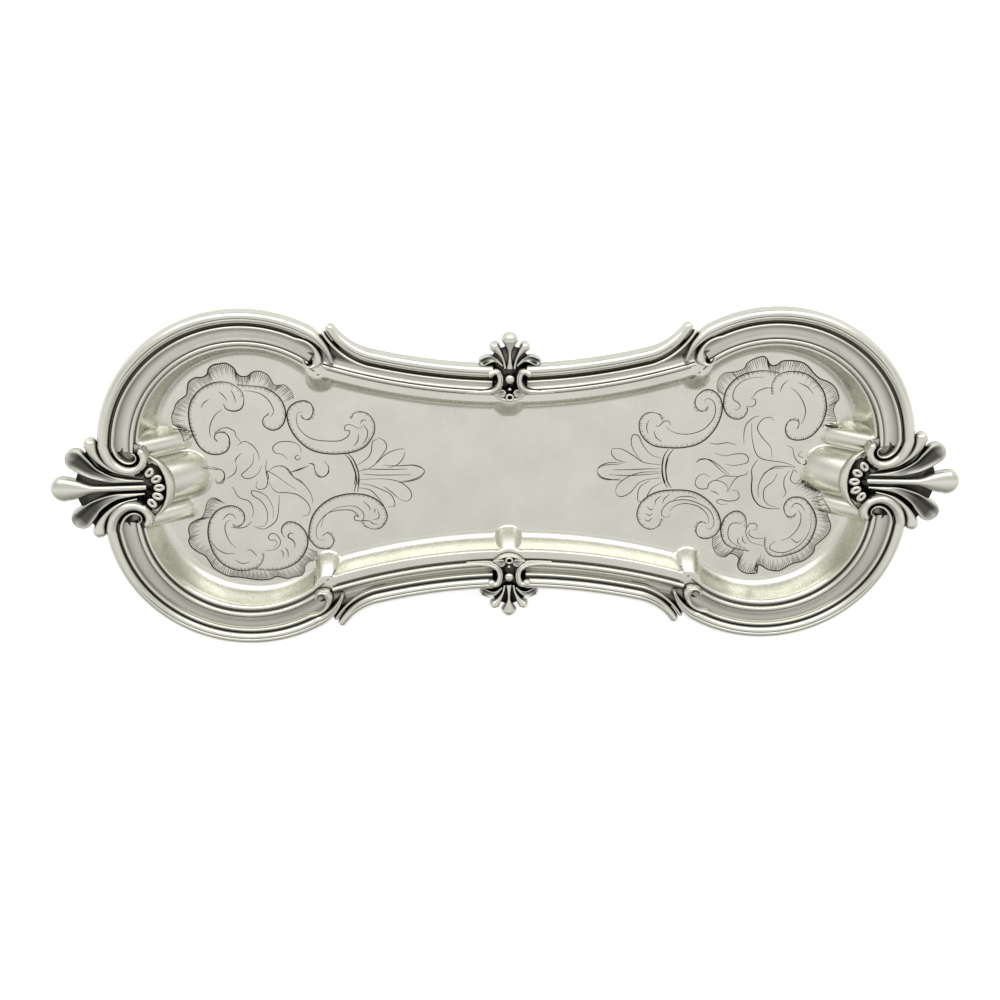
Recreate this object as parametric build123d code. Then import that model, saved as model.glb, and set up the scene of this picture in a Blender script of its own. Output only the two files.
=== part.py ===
from build123d import *
import os
from math import acos, asin, atan2, cos, degrees, exp, hypot, pi, radians, sin, tan

# A waisted pen tray in silver: a dish raised from one sheet, with twelve cast mounts soldered
# around its flange. Millimetres, +X along the tray, +Z up, origin at the middle of the underside.

# Overall plan
length = 254.0  # tip to tip of the two end palmettes
palmette_reach = 13.5  # an end palmette's tip, out from the lobe moulding
lobe_radius = 40.0  # outside of the moulding around a lobe
lobe_spread = 9.8  # centre of each quarter's lobe circle, off the long axis
shoulder_inset = 23.2  # the notch between waist and lobe, in from the lobe's centre
flare_drop = 4.19  # the waist's outside where its flare begins, in from the notch
waist_pinch = 4.49  # and at the middle of the tray, in from there

# Dish
sheet = 0.9
rim_height = 7.4  # top of the flange above the underside, along the waist
rim_rise = 3.86  # degrees that the flange of each lobe climbs towards its end
flange_trim = 0.8  # the sheet's cut edge, in from the outside of the mounts
wall_in = 11.0  # top of the wall, in from the outside of the mounts
wall_run = 4.4  # width of the concave wall, from its top to the well
wall_rise = 11.0  # height at which the concave wall would stand upright

# Flutes embossed in the wall: radius, fall of the crest in degrees, and how far the toe
# reaches into the well
end_flute_radius = 7.2
end_flute_slope = 38.0
end_flute_run = 13.3
end_side_flute_radius = 3.2
end_side_flute_run = 8.3
end_side_flute_spread = 10.5  # off the long axis
side_flute_slope = 45.0
shoulder_flute_radius = 3.8
shoulder_flute_run = 1.2
waist_flute_radius = 3.3
waist_flute_run = 1.5

# Moulding: widths of its members from the outside in, and the heights of their crests
roll_width = 4.1
groove_width = 0.3
bead_width = 1.1
lobe_cove_width = 3.1
waist_cove_width = 2.2
ridge_width = 1.1
roll_crest = 2.9
bead_crest = 2.2
ridge_crest = 1.6
ground = 0.6  # thickness of the castings between their members
roll_facets = 3  # chords across the round top of the roll and of a petal
bead_facets = 2  # and of the thin members
stud_sides = 8
wall_facets = 2
lobe_facets = 15  # chords along the moulding of a quarter of a lobe
waist_facets = 4  # and of a quarter of the waist
flute_sides = 12
neck_beads = 5
neck_bead_turn = 27.0  # degrees from bead to bead

# Volutes of the lobe mounts
volute_crest = 3.2
end_start = 4.0  # degrees around the lobe, off the long axis, where the end volute begins
end_eye_inset = 9.4  # eye of the end volute, in from the outside of the lobe
end_eye_drop = 0.7  # and nearer the long axis than the lobe's centre
end_eye_radius = 2.7  # centre line of the roll around that eye
end_turn = 260.0  # degrees that the roll winds around it
end_ease = 0.28  # share of the turn over which the roll closes on its eye
end_curl_width = 2.2
bead_curl_radius = 1.2
bead_curl_width = 0.7
bead_turn = 120.0
shoulder_lead = 4.5  # the roll turns down this far before the notch, along the lobe
bead_lead = 6.6  # and the bead leaves it this far before, for the shoulder volute
shoulder_bend = 14.0
shoulder_sweep = 42.0
shoulder_tip_width = 2.0
shoulder_eye_turn = 1.0  # eye of the shoulder volute, in degrees past the notch
shoulder_eye_inset = 8.2
shoulder_eye_radius = 1.8
shoulder_turn = 285.0
shoulder_ease = 0.16
shoulder_curl_width = 2.2

# Flares and hooks of the waist mounts
waist_start = 6.3  # where the mouldings begin, from the middle of the tray
flare_start = 12.3  # where the roll leaves the waist's curve, before the notch
flare_radius = 16.0
flare_sweep = 42.0
flare_tip_width = 2.5
flare_tip_crest = 2.0
hook_reach = 4.8  # eye of the hook, from the middle of the tray
hook_inset = 4.0  # and from the outside of the moulding
hook_radius = 2.2
hook_turn = 230.0
hook_ease = 0.2
hook_width = 1.9
hook_crest = 3.6

# Palmettes
petal_rim = 0.55  # raised edge of a hollow petal
petal_floor = 1.1  # bottom of its hollow
neck_bead_radius = 0.95
neck_ring_radius = 5.6
neck_ring_inset = 10.4  # centre of the ring of beads, in from the outside of the lobe
collar_inset = 8.3  # centre of the collar's arc, in from the outside of the lobe
collar_radius = 10.2
collar_width = 2.0
collar_crest = 1.6
pearl_radius = 1.15
pearl_inset = 4.1  # in from the outside of the waist
fan_ribs = 5
fan_radius = 5.0
fan_spread = 26.0  # degrees from rib to rib

lobe_x = length / 2 - palmette_reach - lobe_radius
lobe_end = lobe_x + lobe_radius
shoulder_x = lobe_x - shoulder_inset
flare_x = shoulder_x - flare_start
notch_y = lobe_spread + (lobe_radius**2 - shoulder_inset**2) ** 0.5
waist_half_width = notch_y - flare_drop - waist_pinch
waist_radius = (flare_x**2 + waist_pinch**2) / (2 * waist_pinch)
notch_angle = degrees(acos(-shoulder_inset / lobe_radius))
shoulder_start = notch_angle - degrees(shoulder_lead / lobe_radius)
bead_start = notch_angle - degrees(bead_lead / lobe_radius)
shoulder_eye_angle = notch_angle + shoulder_eye_turn
lobe_centre = (lobe_x, lobe_spread)
waist_centre = (0, waist_half_width + waist_radius)
roll_in = roll_width + groove_width
bead_in = roll_in + bead_width
well_in = wall_in + wall_run
tall = 4 * rim_height  # higher than everything
wide = length  # wider than everything


def polar(centre, angle, radius):
    """The plan point at an angle and a distance from a centre."""
    turn = radians(angle)
    return centre[0] + radius * cos(turn), centre[1] + radius * sin(turn)


def seen_from(centre, point):
    """The angle and the distance of a plan point, seen from a centre."""
    run, rise = point[0] - centre[0], point[1] - centre[1]
    return degrees(atan2(rise, run)), hypot(run, rise)


def between(pair, share):
    """The value a share of the way from the first of a pair to the second."""
    return pair[0] + (pair[1] - pair[0]) * share


# Curves that the castings and the dish share
waist_flare_angle = degrees(asin(flare_x / waist_radius))
flare_centre = polar(waist_centre, waist_flare_angle - 90, waist_radius - flare_radius)
bend_centre = polar(
    lobe_centre, shoulder_start, lobe_radius - roll_width / 2 - shoulder_bend
)
end_eye = (lobe_end - end_eye_inset, lobe_spread - end_eye_drop)
shoulder_eye = polar(lobe_centre, shoulder_eye_angle, lobe_radius - shoulder_eye_inset)
hook_eye = (hook_reach, waist_half_width - hook_inset)


def around(centre, start, sweep, radii, widths, crests, steps):
    """Stations (x, y, half width, crest) of a strand on an arc about a centre."""
    rows = []
    for step in range(steps + 1):
        share = step / steps
        point = polar(centre, start + sweep * share, between(radii, share))
        rows.append((*point, between(widths, share) / 2, between(crests, share)))
    return rows


def winding(centre, first, sweep, radius, ease, widths, crests, steps):
    """Stations of a volute that runs in from a first point and settles at a radius."""
    start, reach = seen_from(centre, first)
    rows = []
    for step in range(steps + 1):
        share = step / steps
        settled = radius + (reach - radius) * exp(-share / ease)
        grown = min(1.6 * share, 1)
        point = polar(centre, start + sweep * share, settled)
        rows.append((*point, between(widths, grown) / 2, between(crests, grown)))
    return rows


def crown(middle, width, crest, facets):
    """The round top of a member in its cross section, from one side to the other."""
    half = width / 2
    skirt = max(crest - half, crest / 4)
    turns = [pi * step / facets for step in range(facets + 1)]
    return [
        (middle - half * cos(turn), skirt + (crest - skirt) * sin(turn)) for turn in turns
    ]


def member_section(half, crest, facets):
    """Cross section of a cast member about its centre line: flat below, round above."""
    return [(half, 0), (-half, 0)] + crown(0, 2 * half, crest, facets)


def scoop_section(half, crest, facets):
    """Cross section of the tool for a petal's hollow: round below and open above."""
    turns = [pi * step / facets for step in range(facets + 1)]
    deep = crest - petal_floor
    round_floor = [(half * cos(turn), crest - deep * sin(turn)) for turn in turns]
    return [(-half, tall / 4), (half, tall / 4)] + round_floor


def skin(rings):
    """A solid with flat facets through rings of points that have the same count."""
    facets = [Wire.make_polygon(rings[0]), Wire.make_polygon(rings[-1])]
    for near, far in zip(rings, rings[1:]):
        for side, point in enumerate(near):
            facets.append(Wire.make_polygon([near[side - 1], point, far[side]]))
            facets.append(Wire.make_polygon([near[side - 1], far[side], far[side - 1]]))
    return Solid(Shell([Face(facet) for facet in facets]))


def rounded(rows):
    """Stations that close a member with a blunt round end, after its last two."""
    (x0, y0, _, _), (x1, y1, half, crest) = rows[-2:]
    run = hypot(x1 - x0, y1 - y0)
    ends = []
    for turn in (40, 75):
        near, far = cos(radians(turn)), half * sin(radians(turn)) / run
        x, y = x1 + (x1 - x0) * far, y1 + (y1 - y0) * far
        ends.append((x, y, half * near, crest * (1 + near) / 2))
    return rows + ends


def strand(rows, facets, section=member_section):
    """A cast member from station to station, with its far end rounded off."""
    rows = rounded(rows)
    runs = [
        Vector(b[0] - a[0], b[1] - a[1], 0).normalized() for a, b in zip(rows, rows[1:])
    ]
    headings = [runs[0]]
    headings += [(a + b).normalized() for a, b in zip(runs, runs[1:])]
    headings.append(runs[-1])
    rings = []
    for (x, y, half, crest), to in zip(rows, headings):
        cut = section(half, crest, facets)
        rings.append([(x - to.Y * side, y + to.X * side, height) for side, height in cut])
    return skin(rings)


def stud(centre, radius, base):
    """A small bead on its own stem."""
    levels = [(0, radius), (base, radius)] + [
        (base + radius * sin(turn), radius * cos(turn)) for turn in (pi / 4, pi * 0.45)
    ]
    corners = [360 * side / stud_sides for side in range(stud_sides)]
    return skin(
        [[(*polar(centre, turn, reach), z) for turn in corners] for z, reach in levels]
    )


def plate(points):
    """The ground of a casting, from its plan outline."""
    with BuildSketch() as plan:
        with BuildLine():
            Polyline(*points, close=True)
        make_face()
    return extrude(plan.sketch, ground)


def both_ways(points):
    """A plan outline that is the same on both sides of the long axis."""
    return points + [(x, -y) for x, y in reversed(points) if abs(y) > 0]


def disc(centre, radius, height):
    """A round pad on the flange."""
    return Location((*centre, height / 2)) * Cylinder(radius, height)


def mirrored_y(rows):
    """Stations on the other side of the long axis."""
    return [(x, -y, half, crest) for x, y, half, crest in rows]


def mirrored_x(rows):
    """Stations on the other side of the middle of the tray."""
    return [(-x, y, half, crest) for x, y, half, crest in rows]


def all_four(shape):
    """A right-hand back shape and its three mirror copies, by side."""
    sides = {}
    for end in ("right", "left"):
        for side in ("back", "front"):
            copy = mirror(shape, Plane.YZ) if end == "left" else shape
            sides[f"{end}_{side}"] = mirror(copy, Plane.XZ) if side == "front" else copy
    return sides


def on_lobe(shape):
    """Lifts a shape from a level flange to the rising flange of the right-hand lobe."""
    pivot = Location((shoulder_x, 0, rim_height))
    return pivot * Rotation(0, -rim_rise, 0) * Location((-shoulder_x, 0, 0)) * shape


def on_waist(shape):
    """Lifts a shape on to the flange along the waist."""
    return Location((0, 0, rim_height)) * shape


def rim_line(drop):
    """The flange's top seen from the front, lowered by a drop."""
    rise = (wide - shoulder_x) * tan(radians(rim_rise))
    level = rim_height - drop
    return [
        (-wide, level + rise),
        (-shoulder_x, level),
        (shoulder_x, level),
        (wide, level + rise),
    ]


def slab(bottom, top):
    """The space between two lines seen from the front, across the whole tray."""
    with BuildSketch(Plane.XZ) as side:
        with BuildLine():
            Polyline(*bottom, *reversed(top), close=True)
        make_face()
    return extrude(side.sketch, wide, both=True)


def hollow_section(foot, head, middle, low):
    """Upright section of the dish's hollow, from its middle to the concave wall."""
    turns = [pi / 2 * step / wall_facets for step in range(wall_facets + 1)]
    wall = [
        (foot + (head - foot) * sin(turn), low + wall_rise * (1 - cos(turn)))
        for turn in turns
    ]
    with BuildSketch(Plane.XZ) as side:
        with BuildLine():
            Polyline((middle, low), *wall, (head, tall), (middle, tall), close=True)
        make_face()
    return side.sketch


def bowl(grow):
    """The dish's hollow, or its outer form where it is grown by the sheet."""
    low = sheet - grow
    place = Location((*lobe_centre, 0))
    lobe_side = hollow_section(
        lobe_radius - well_in + grow, lobe_radius - wall_in + grow, 0, low
    )
    lobe = place * revolve(lobe_side, Axis.Z, 360)
    quarter = lobe + extrude(place * lobe_side, lobe_spread)
    foot = waist_radius + well_in - grow
    middle = hypot(waist_centre[1], lobe_x)  # past the long axis, all the way across
    waist_side = hollow_section(foot, foot - wall_run, middle, low)
    reach = degrees(asin((shoulder_x + grow) / foot))
    turned = Rotation(0, 0, -90 - reach) * waist_side
    waist = Location((*waist_centre, 0)) * revolve(turned, Axis.Z, 2 * reach)
    half = waist + quarter + mirror(quarter, Plane.YZ)
    return half + mirror(half, Plane.XZ)


def flute(toe, heading, slope, radius):
    """A flute whose round crest climbs from its toe in the well, outwards."""
    fall, turn = radians(slope), radians(heading)
    axis = (cos(fall) * cos(turn), cos(fall) * sin(turn), sin(fall))
    x, y = polar(toe, heading, radius * sin(fall))
    on_axis = (x, y, sheet - radius * cos(fall))
    across = Plane(on_axis, (-sin(turn), cos(turn), 0), axis)
    return extrude(across * RegularPolygon(radius, flute_sides), tall, both=True)


def flutes(grow):
    """All the flutes of the wall, made smaller by the sheet for its underside."""
    end_well = lobe_end - well_in
    shoulder_well = waist_centre[1] - ((waist_radius + well_in) ** 2 - shoulder_x**2) ** 0.5
    end = flute(
        (end_well - end_flute_run + grow, 0), 0, end_flute_slope, end_flute_radius - grow
    )
    corner = flute(
        (end_well - end_side_flute_run + grow, end_side_flute_spread),
        0,
        end_flute_slope,
        end_side_flute_radius - grow,
    )
    shoulder = flute(
        (shoulder_eye[0] - shoulder_eye_radius, shoulder_well - shoulder_flute_run + grow),
        90,
        side_flute_slope,
        shoulder_flute_radius - grow,
    )
    middle = flute(
        (0, waist_half_width - well_in - waist_flute_run + grow),
        90,
        side_flute_slope,
        waist_flute_radius - grow,
    )
    made = []
    for shape in (end, middle):
        made.append(shape)
        made.append(Rotation(0, 0, 180) * shape)
    for shape in (corner, shoulder):
        made.extend(all_four(shape).values())
    return made


def flange():
    """The flat rim of the sheet, level along the waist and rising round each lobe."""
    edge = lobe_radius - flange_trim
    tip_angle = waist_flare_angle - 90 + flare_sweep
    tab = [
        polar(waist_centre, waist_flare_angle - 90, waist_radius + flange_trim),
        polar(flare_centre, tip_angle, flare_radius + flange_trim),
        polar(flare_centre, tip_angle, flare_radius + flare_tip_width + bead_width),
        (shoulder_x + flange_trim, waist_half_width),
    ]
    with BuildSketch() as plan:
        Rectangle(2 * shoulder_x, 2 * (waist_half_width + lobe_spread))
        with Locations((0, waist_centre[1]), (0, -waist_centre[1])):
            Circle(waist_radius + flange_trim, mode=Mode.SUBTRACT)
        for way in (-1, 1):
            for side in (-1, 1):
                with BuildLine():
                    Polyline(*[(way * x, side * y) for x, y in tab], close=True)
                make_face()
                with Locations((way * flare_centre[0], side * flare_centre[1])):
                    Circle(flare_radius + flange_trim, mode=Mode.SUBTRACT)
                with Locations((way * lobe_x, side * lobe_spread)):
                    Circle(edge)
            with Locations((way * lobe_x, 0)):
                Rectangle(2 * edge, 2 * lobe_spread)
    return extrude(plan.sketch, tall) & slab(rim_line(sheet), rim_line(0))


def dish():
    """The sheet: its outer form less its hollow, with the flutes pushed up into it."""
    floor = [(-wide, -tall), (wide, -tall)]
    outer = bowl(sheet) & slab(floor, rim_line(0))
    for shape in flutes(sheet):
        outer -= shape
    hollow = bowl(0)
    raised = slab(floor, rim_line(0))
    for shape in flutes(0):
        hollow -= shape & raised
    return outer + flange() - hollow


def moulding(circle, inward, start, sweep, cove_width, facets, whole=True):
    """The moulding around a circle (centre, radius), or only its ridge, cove and ground.

    inward is -1 where the tray's inside is nearer the circle's centre, and 1 outside it.
    """
    centre, radius = circle
    cove_in = bead_in + cove_width
    section = [(roll_width / 2, 0), (roll_width / 2, ground), (bead_in, ground)]
    if whole:
        roll = crown(roll_width / 2, roll_width, roll_crest, roll_facets)
        bead = crown(roll_in + bead_width / 2, bead_width, bead_crest, bead_facets)
        section = [(0, 0), *roll, (roll_in, ground), *bead[1:]]
    section.append((cove_in - cove_width / 2, ground))
    section += crown(cove_in + ridge_width / 2, ridge_width, ridge_crest, bead_facets)
    section.append((cove_in + ridge_width, 0))
    turns = [start + sweep * step / facets for step in range(facets + 1)]
    return skin(
        [[(*polar(centre, turn, radius + inward * x), z) for x, z in section] for turn in turns]
    )


def lobe_roll():
    """The roll's two ends: bent down at the shoulder and wound into the end volute."""
    centre_line = lobe_radius - roll_width / 2
    first = (*polar(lobe_centre, bead_start, centre_line), roll_width / 2, roll_crest)
    shoulder = around(
        bend_centre,
        shoulder_start,
        shoulder_sweep,
        (shoulder_bend, shoulder_bend),
        (roll_width, shoulder_tip_width),
        (roll_crest, volute_crest),
        3,
    )
    curl = winding(
        end_eye,
        polar(lobe_centre, end_start, centre_line),
        -end_turn,
        end_eye_radius,
        end_ease,
        (roll_width, end_curl_width),
        (roll_crest, volute_crest),
        10,
    )
    return strand([first, *shoulder], roll_facets) + strand(curl, roll_facets)


def lobe_bead():
    """The bead's two ends, curled into a volute at the shoulder and inside the end one."""
    centre_line = lobe_radius - roll_in - bead_width / 2
    volute = winding(
        shoulder_eye,
        polar(lobe_centre, bead_start, centre_line),
        shoulder_turn,
        shoulder_eye_radius,
        shoulder_ease,
        (bead_width, shoulder_curl_width),
        (bead_crest, volute_crest),
        11,
    )
    curl = winding(
        end_eye,
        polar(lobe_centre, end_start, centre_line),
        -bead_turn,
        bead_curl_radius,
        end_ease,
        (bead_width, bead_curl_width),
        (bead_crest, bead_crest),
        5,
    )
    return strand(volute, bead_facets) + strand(curl, bead_facets)


def lobe_scroll():
    """The cast mount around a quarter of the tray's end, on a level flange."""
    circle = (lobe_centre, lobe_radius)
    sweep = bead_start - end_start
    rest = seen_from(lobe_centre, shoulder_eye)[0] - bead_start
    ring = moulding(circle, -1, end_start, sweep, lobe_cove_width, lobe_facets)
    inner = moulding(circle, -1, bead_start, rest, lobe_cove_width, 2, whole=False)
    pads = disc(end_eye, end_eye_radius, ground) + disc(
        shoulder_eye, shoulder_eye_radius, ground
    )
    return ring + inner + pads + lobe_roll() + lobe_bead()


def flare_strand(depths, widths, crests, facets):
    """A member that leaves the waist's curve and turns outwards to the notch."""
    rows = around(
        flare_centre,
        waist_flare_angle - 90,
        flare_sweep,
        (flare_radius + depths[0], flare_radius + depths[1]),
        widths,
        crests,
        4,
    )
    return strand(rows, facets)


def waist_scroll():
    """The cast mount along a quarter of the waist, on a level flange."""
    start = degrees(asin(waist_start / waist_radius))
    leave = waist_flare_angle
    stop = degrees(asin(shoulder_x / (waist_radius + bead_in)))
    circle = (waist_centre, waist_radius)
    ring = moulding(circle, 1, start - 90, leave - start, waist_cove_width, waist_facets)
    inner = moulding(circle, 1, leave - 90, stop - leave, waist_cove_width, 2, whole=False)
    tip_roll = flare_tip_width + groove_width + bead_width / 2
    roll = flare_strand(
        (roll_width / 2, flare_tip_width / 2),
        (roll_width, flare_tip_width),
        (roll_crest, flare_tip_crest),
        roll_facets,
    )
    bead = flare_strand(
        (roll_in + bead_width / 2, tip_roll),
        (bead_width, bead_width),
        (bead_crest, flare_tip_crest),
        bead_facets,
    )
    ridge = waist_radius + bead_in + waist_cove_width + ridge_width / 2
    web = plate(
        [
            polar(waist_centre, leave - 90, waist_radius + roll_in),
            polar(flare_centre, leave - 90 + flare_sweep / 2, flare_radius + bead_in),
            polar(flare_centre, leave - 90 + flare_sweep, flare_radius + tip_roll),
            polar(waist_centre, stop - 90, ridge),
            polar(waist_centre, leave - 90, ridge),
        ]
    )
    root = polar(waist_centre, start - 90, ridge)
    hook = winding(
        hook_eye,
        root,
        -hook_turn,
        hook_radius,
        hook_ease,
        (ridge_width, hook_width),
        (ridge_crest, hook_crest),
        9,
    )
    pad = disc(hook_eye, hook_radius, ground)
    return ring + inner + web + pad + roll + bead + strand(hook, bead_facets)


def end_palmette():
    """The seven-petalled mount that joins two end volutes, on a level flange."""
    edge = lobe_end
    tip = shoulder_x + (length / 2 - shoulder_x) / cos(radians(rim_rise))
    drop = strand(
        [
            (edge - 12.4, 0, 0.9, 1.8),
            (edge, 0, 1.1, 2.0),
            (edge + 2.7, 0, 1.4, 2.3),
            (edge + 6.5, 0, 2.5, 2.9),
            (tip - 3.4, 0, 3.4, 3.3),
        ],
        roll_facets,
    )
    spoon = [
        (edge - 11.8, 1.9, 0.4, 1.4),
        (edge - 7.0, 2.2, 0.8, 1.7),
        (edge - 3.0, 2.8, 1.1, 2.0),
        (edge + 1.2, 4.7, 1.8, 2.4),
        (edge + 3.8, 6.8, 2.6, 2.7),
        (edge + 5.6, 8.6, 2.9, 2.7),
    ]
    hollow = [(x, y, half - petal_rim, crest) for x, y, half, crest in spoon[2:]]
    bud = [
        (edge - 9.6, 3.4, 0.35, 1.2),
        (edge - 6.7, 4.1, 0.5, 1.5),
        (edge - 3.8, 5.3, 0.7, 1.7),
        (edge - 0.8, 7.8, 1.0, 2.0),
        (edge + 0.9, 10.6, 1.4, 2.4),
        (edge + 1.4, 13.2, 1.7, 2.6),
    ]
    outline = [
        (edge - 19.3, 0),
        (edge - 18.2, 4.0),
        (edge - 14.4, 6.8),
        (edge - 9, 4.9),
        (edge - 2.4, 7.0),
        (edge, 11.5),
        (edge + 2.6, 11.5),
        (edge + 6.4, 8.5),
        (edge + 8.6, 3.4),
        (tip - 3.6, 0),
    ]
    ring_centre = (edge - neck_ring_inset, 0)
    casting = plate(both_ways(outline)) + drop
    for petal in (spoon, mirrored_y(spoon), bud, mirrored_y(bud)):
        casting += strand(petal, roll_facets)
    for cut in (hollow, mirrored_y(hollow)):
        casting -= strand(cut, roll_facets, scoop_section)
    for bead in range(neck_beads):
        turn = (bead - (neck_beads - 1) / 2) * neck_bead_turn
        place = polar(ring_centre, 180 + turn, neck_ring_radius)
        casting += stud(place, neck_bead_radius, ground)
    collar = []
    for step in range(-4, 5):
        place = polar((edge - collar_inset, 0), 180 + 13 * step, collar_radius)
        share = cos(radians(18 * step))
        collar.append((*place, collar_width / 2 * share, collar_crest * (0.5 + share / 2)))
    return casting + strand(collar, bead_facets)


def side_palmette():
    """The five-petalled mount at the middle of a long side, on a level flange."""
    edge = waist_half_width
    drop = [
        (0, edge - 1.2, 0.8, 1.6),
        (0, edge + 2.8, 0.7, 1.7),
        (0, edge + 5.2, 1.5, 2.2),
        (0, edge + 6.7, 2.3, 2.7),
    ]
    petal = [
        (1.1, edge - 0.9, 0.5, 1.5),
        (2.1, edge + 1.6, 0.65, 1.6),
        (3.4, edge + 3.6, 1.1, 2.0),
        (4.4, edge + 4.8, 1.5, 2.3),
    ]
    leaf = [
        (2.4, edge, 0.4, 1.5),
        (4.3, edge + 1.4, 0.7, 1.9),
        (6.3, edge + 1.5, 1.2, 2.3),
        (7.8, edge + 0.8, 0.9, 2.0),
        (8.7, edge + 0.3, 0.3, 1.5),
    ]
    outline = [
        (0, edge - 10.7),
        (2.6, edge - 10.0),
        (4.5, edge - 8.4),
        (2.6, edge - 6.6),
        (2.2, edge - 3.0),
        (2.6, edge),
        (6.6, edge + 1.3),
        (4.2, edge + 4.5),
        (1.0, edge + 6.0),
        (0, edge + 7.0),
    ]
    pearl = (0, edge - pearl_inset)
    casting = plate(outline + [(-x, y) for x, y in reversed(outline) if x > 0])
    for rows in (drop, petal, mirrored_x(petal), leaf, mirrored_x(leaf)):
        casting += strand(rows, roll_facets)
    casting += stud(pearl, pearl_radius, ground + pearl_radius)
    root = (0, pearl[1] - 1.6 * pearl_radius)
    for rib in range(fan_ribs):
        turn = 270 + (rib - (fan_ribs - 1) / 2) * fan_spread
        ends = [polar(root, turn, fan_radius * share) for share in (0.1, 0.6, 0.95)]
        rows = [(*ends[0], 0.35, 1.2), (*ends[1], 0.75, 1.9), (*ends[2], 0.6, 1.4)]
        casting += strand(rows, bead_facets)
    return casting


if __name__ == "__main__":
    os.makedirs("parts", exist_ok=True)
    below = slab([(-wide, -tall), (wide, -tall)], rim_line(0))
    lobe_mount = on_lobe(lobe_scroll()) - below
    waist_mount = on_waist(waist_scroll()) - below - lobe_mount
    fork = lobe_mount + mirror(lobe_mount, Plane.XZ)
    pair = waist_mount + mirror(waist_mount, Plane.YZ)
    nodes = {"tray_dish": dish()}
    for side, shape in all_four(lobe_mount).items():
        nodes["lobe_scroll_" + side] = shape
    for side, shape in all_four(waist_mount).items():
        nodes["waist_scroll_" + side] = shape
    end_mount = on_lobe(end_palmette()) - fork
    nodes["end_palmette_right"] = end_mount
    nodes["end_palmette_left"] = mirror(end_mount, Plane.YZ)
    side_mount = on_waist(side_palmette()) - pair
    nodes["side_palmette_back"] = side_mount
    nodes["side_palmette_front"] = mirror(side_mount, Plane.XZ)
    for name, shape in nodes.items():
        export_step(shape, f"parts/{name}.step")
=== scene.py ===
"""Dresses a waisted silver pen tray: its raised dish, cast border, palmettes and engraving."""
import logging
import math
from dataclasses import astuple, dataclass, replace
from enum import Enum
from functools import cached_property
from typing import Any, Callable, ClassVar, Iterable

import bmesh
import bpy
from mathutils import Matrix, Vector


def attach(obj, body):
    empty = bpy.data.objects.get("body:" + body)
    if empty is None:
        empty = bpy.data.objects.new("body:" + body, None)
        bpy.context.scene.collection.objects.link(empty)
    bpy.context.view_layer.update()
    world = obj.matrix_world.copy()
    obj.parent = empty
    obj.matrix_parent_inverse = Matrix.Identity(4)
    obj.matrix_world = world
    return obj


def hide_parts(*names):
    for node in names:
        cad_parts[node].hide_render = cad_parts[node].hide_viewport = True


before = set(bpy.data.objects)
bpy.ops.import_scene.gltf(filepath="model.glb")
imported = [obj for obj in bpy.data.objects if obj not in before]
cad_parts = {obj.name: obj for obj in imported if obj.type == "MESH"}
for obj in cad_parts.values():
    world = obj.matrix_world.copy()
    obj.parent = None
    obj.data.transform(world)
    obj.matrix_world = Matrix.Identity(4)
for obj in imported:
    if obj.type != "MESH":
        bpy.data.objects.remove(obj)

log = logging.getLogger("pen_tray")
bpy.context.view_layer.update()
MM = 0.001
# Name of the per-point layer of painted shade: it darkens lines, hollows, coves and grounds,
# together with the patina that old silver has there.
SHADE_AND_PATINA = "shade_and_patina"
SUNK = -0.05
WELD = 1e-4
NOSE_TURNS = (15, 30, 45, 60, 74, 85, 89.5)
NOSE_LOW = 0.35
HOLLOW_DEPTH = 0.62
LINE_DEPTH = 0.3
LINE_HALF = 0.07
# Levels of painted shade: the ground plates between petals, the pads inside volutes and the strip
# under the flared waist bead.
PLATE_SHADE = 0.92
PAD_SHADE = 0.7
WEB_SHADE = 0.95
OUTSIDE = -9.0
FAR_BELOW = -5.0

Point = tuple[float, float]
Spot = tuple[float, float, float]
Ring = list[Spot]
Run = tuple[float, ...]
Member = tuple[float, float, float, float]
Socket = bpy.types.NodeSocket


def polar(centre: Point, angle: float, radius: float) -> Point:
    """Gives the plan point at an angle in degrees and a distance from a centre."""
    turn = math.radians(angle)
    return centre[0] + radius * math.cos(turn), centre[1] + radius * math.sin(turn)


def seen_from(centre: Point, point: Point) -> tuple[float, float]:
    """Gives the angle in degrees and the distance of a plan point, seen from a centre."""
    run, rise = point[0] - centre[0], point[1] - centre[1]
    return math.degrees(math.atan2(rise, run)), math.hypot(run, rise)


def mix(near: float, far: float, share: float) -> float:
    """Gives the value a share of the way from one number to another."""
    return near + (far - near) * share


def eased(low: float, high: float, value: float) -> float:
    """Gives 0 below one number and 1 above another, with a smooth step between."""
    share = min(max((value - low) / (high - low), 0.0), 1.0)
    return share * share * (3 - 2 * share)


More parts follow.
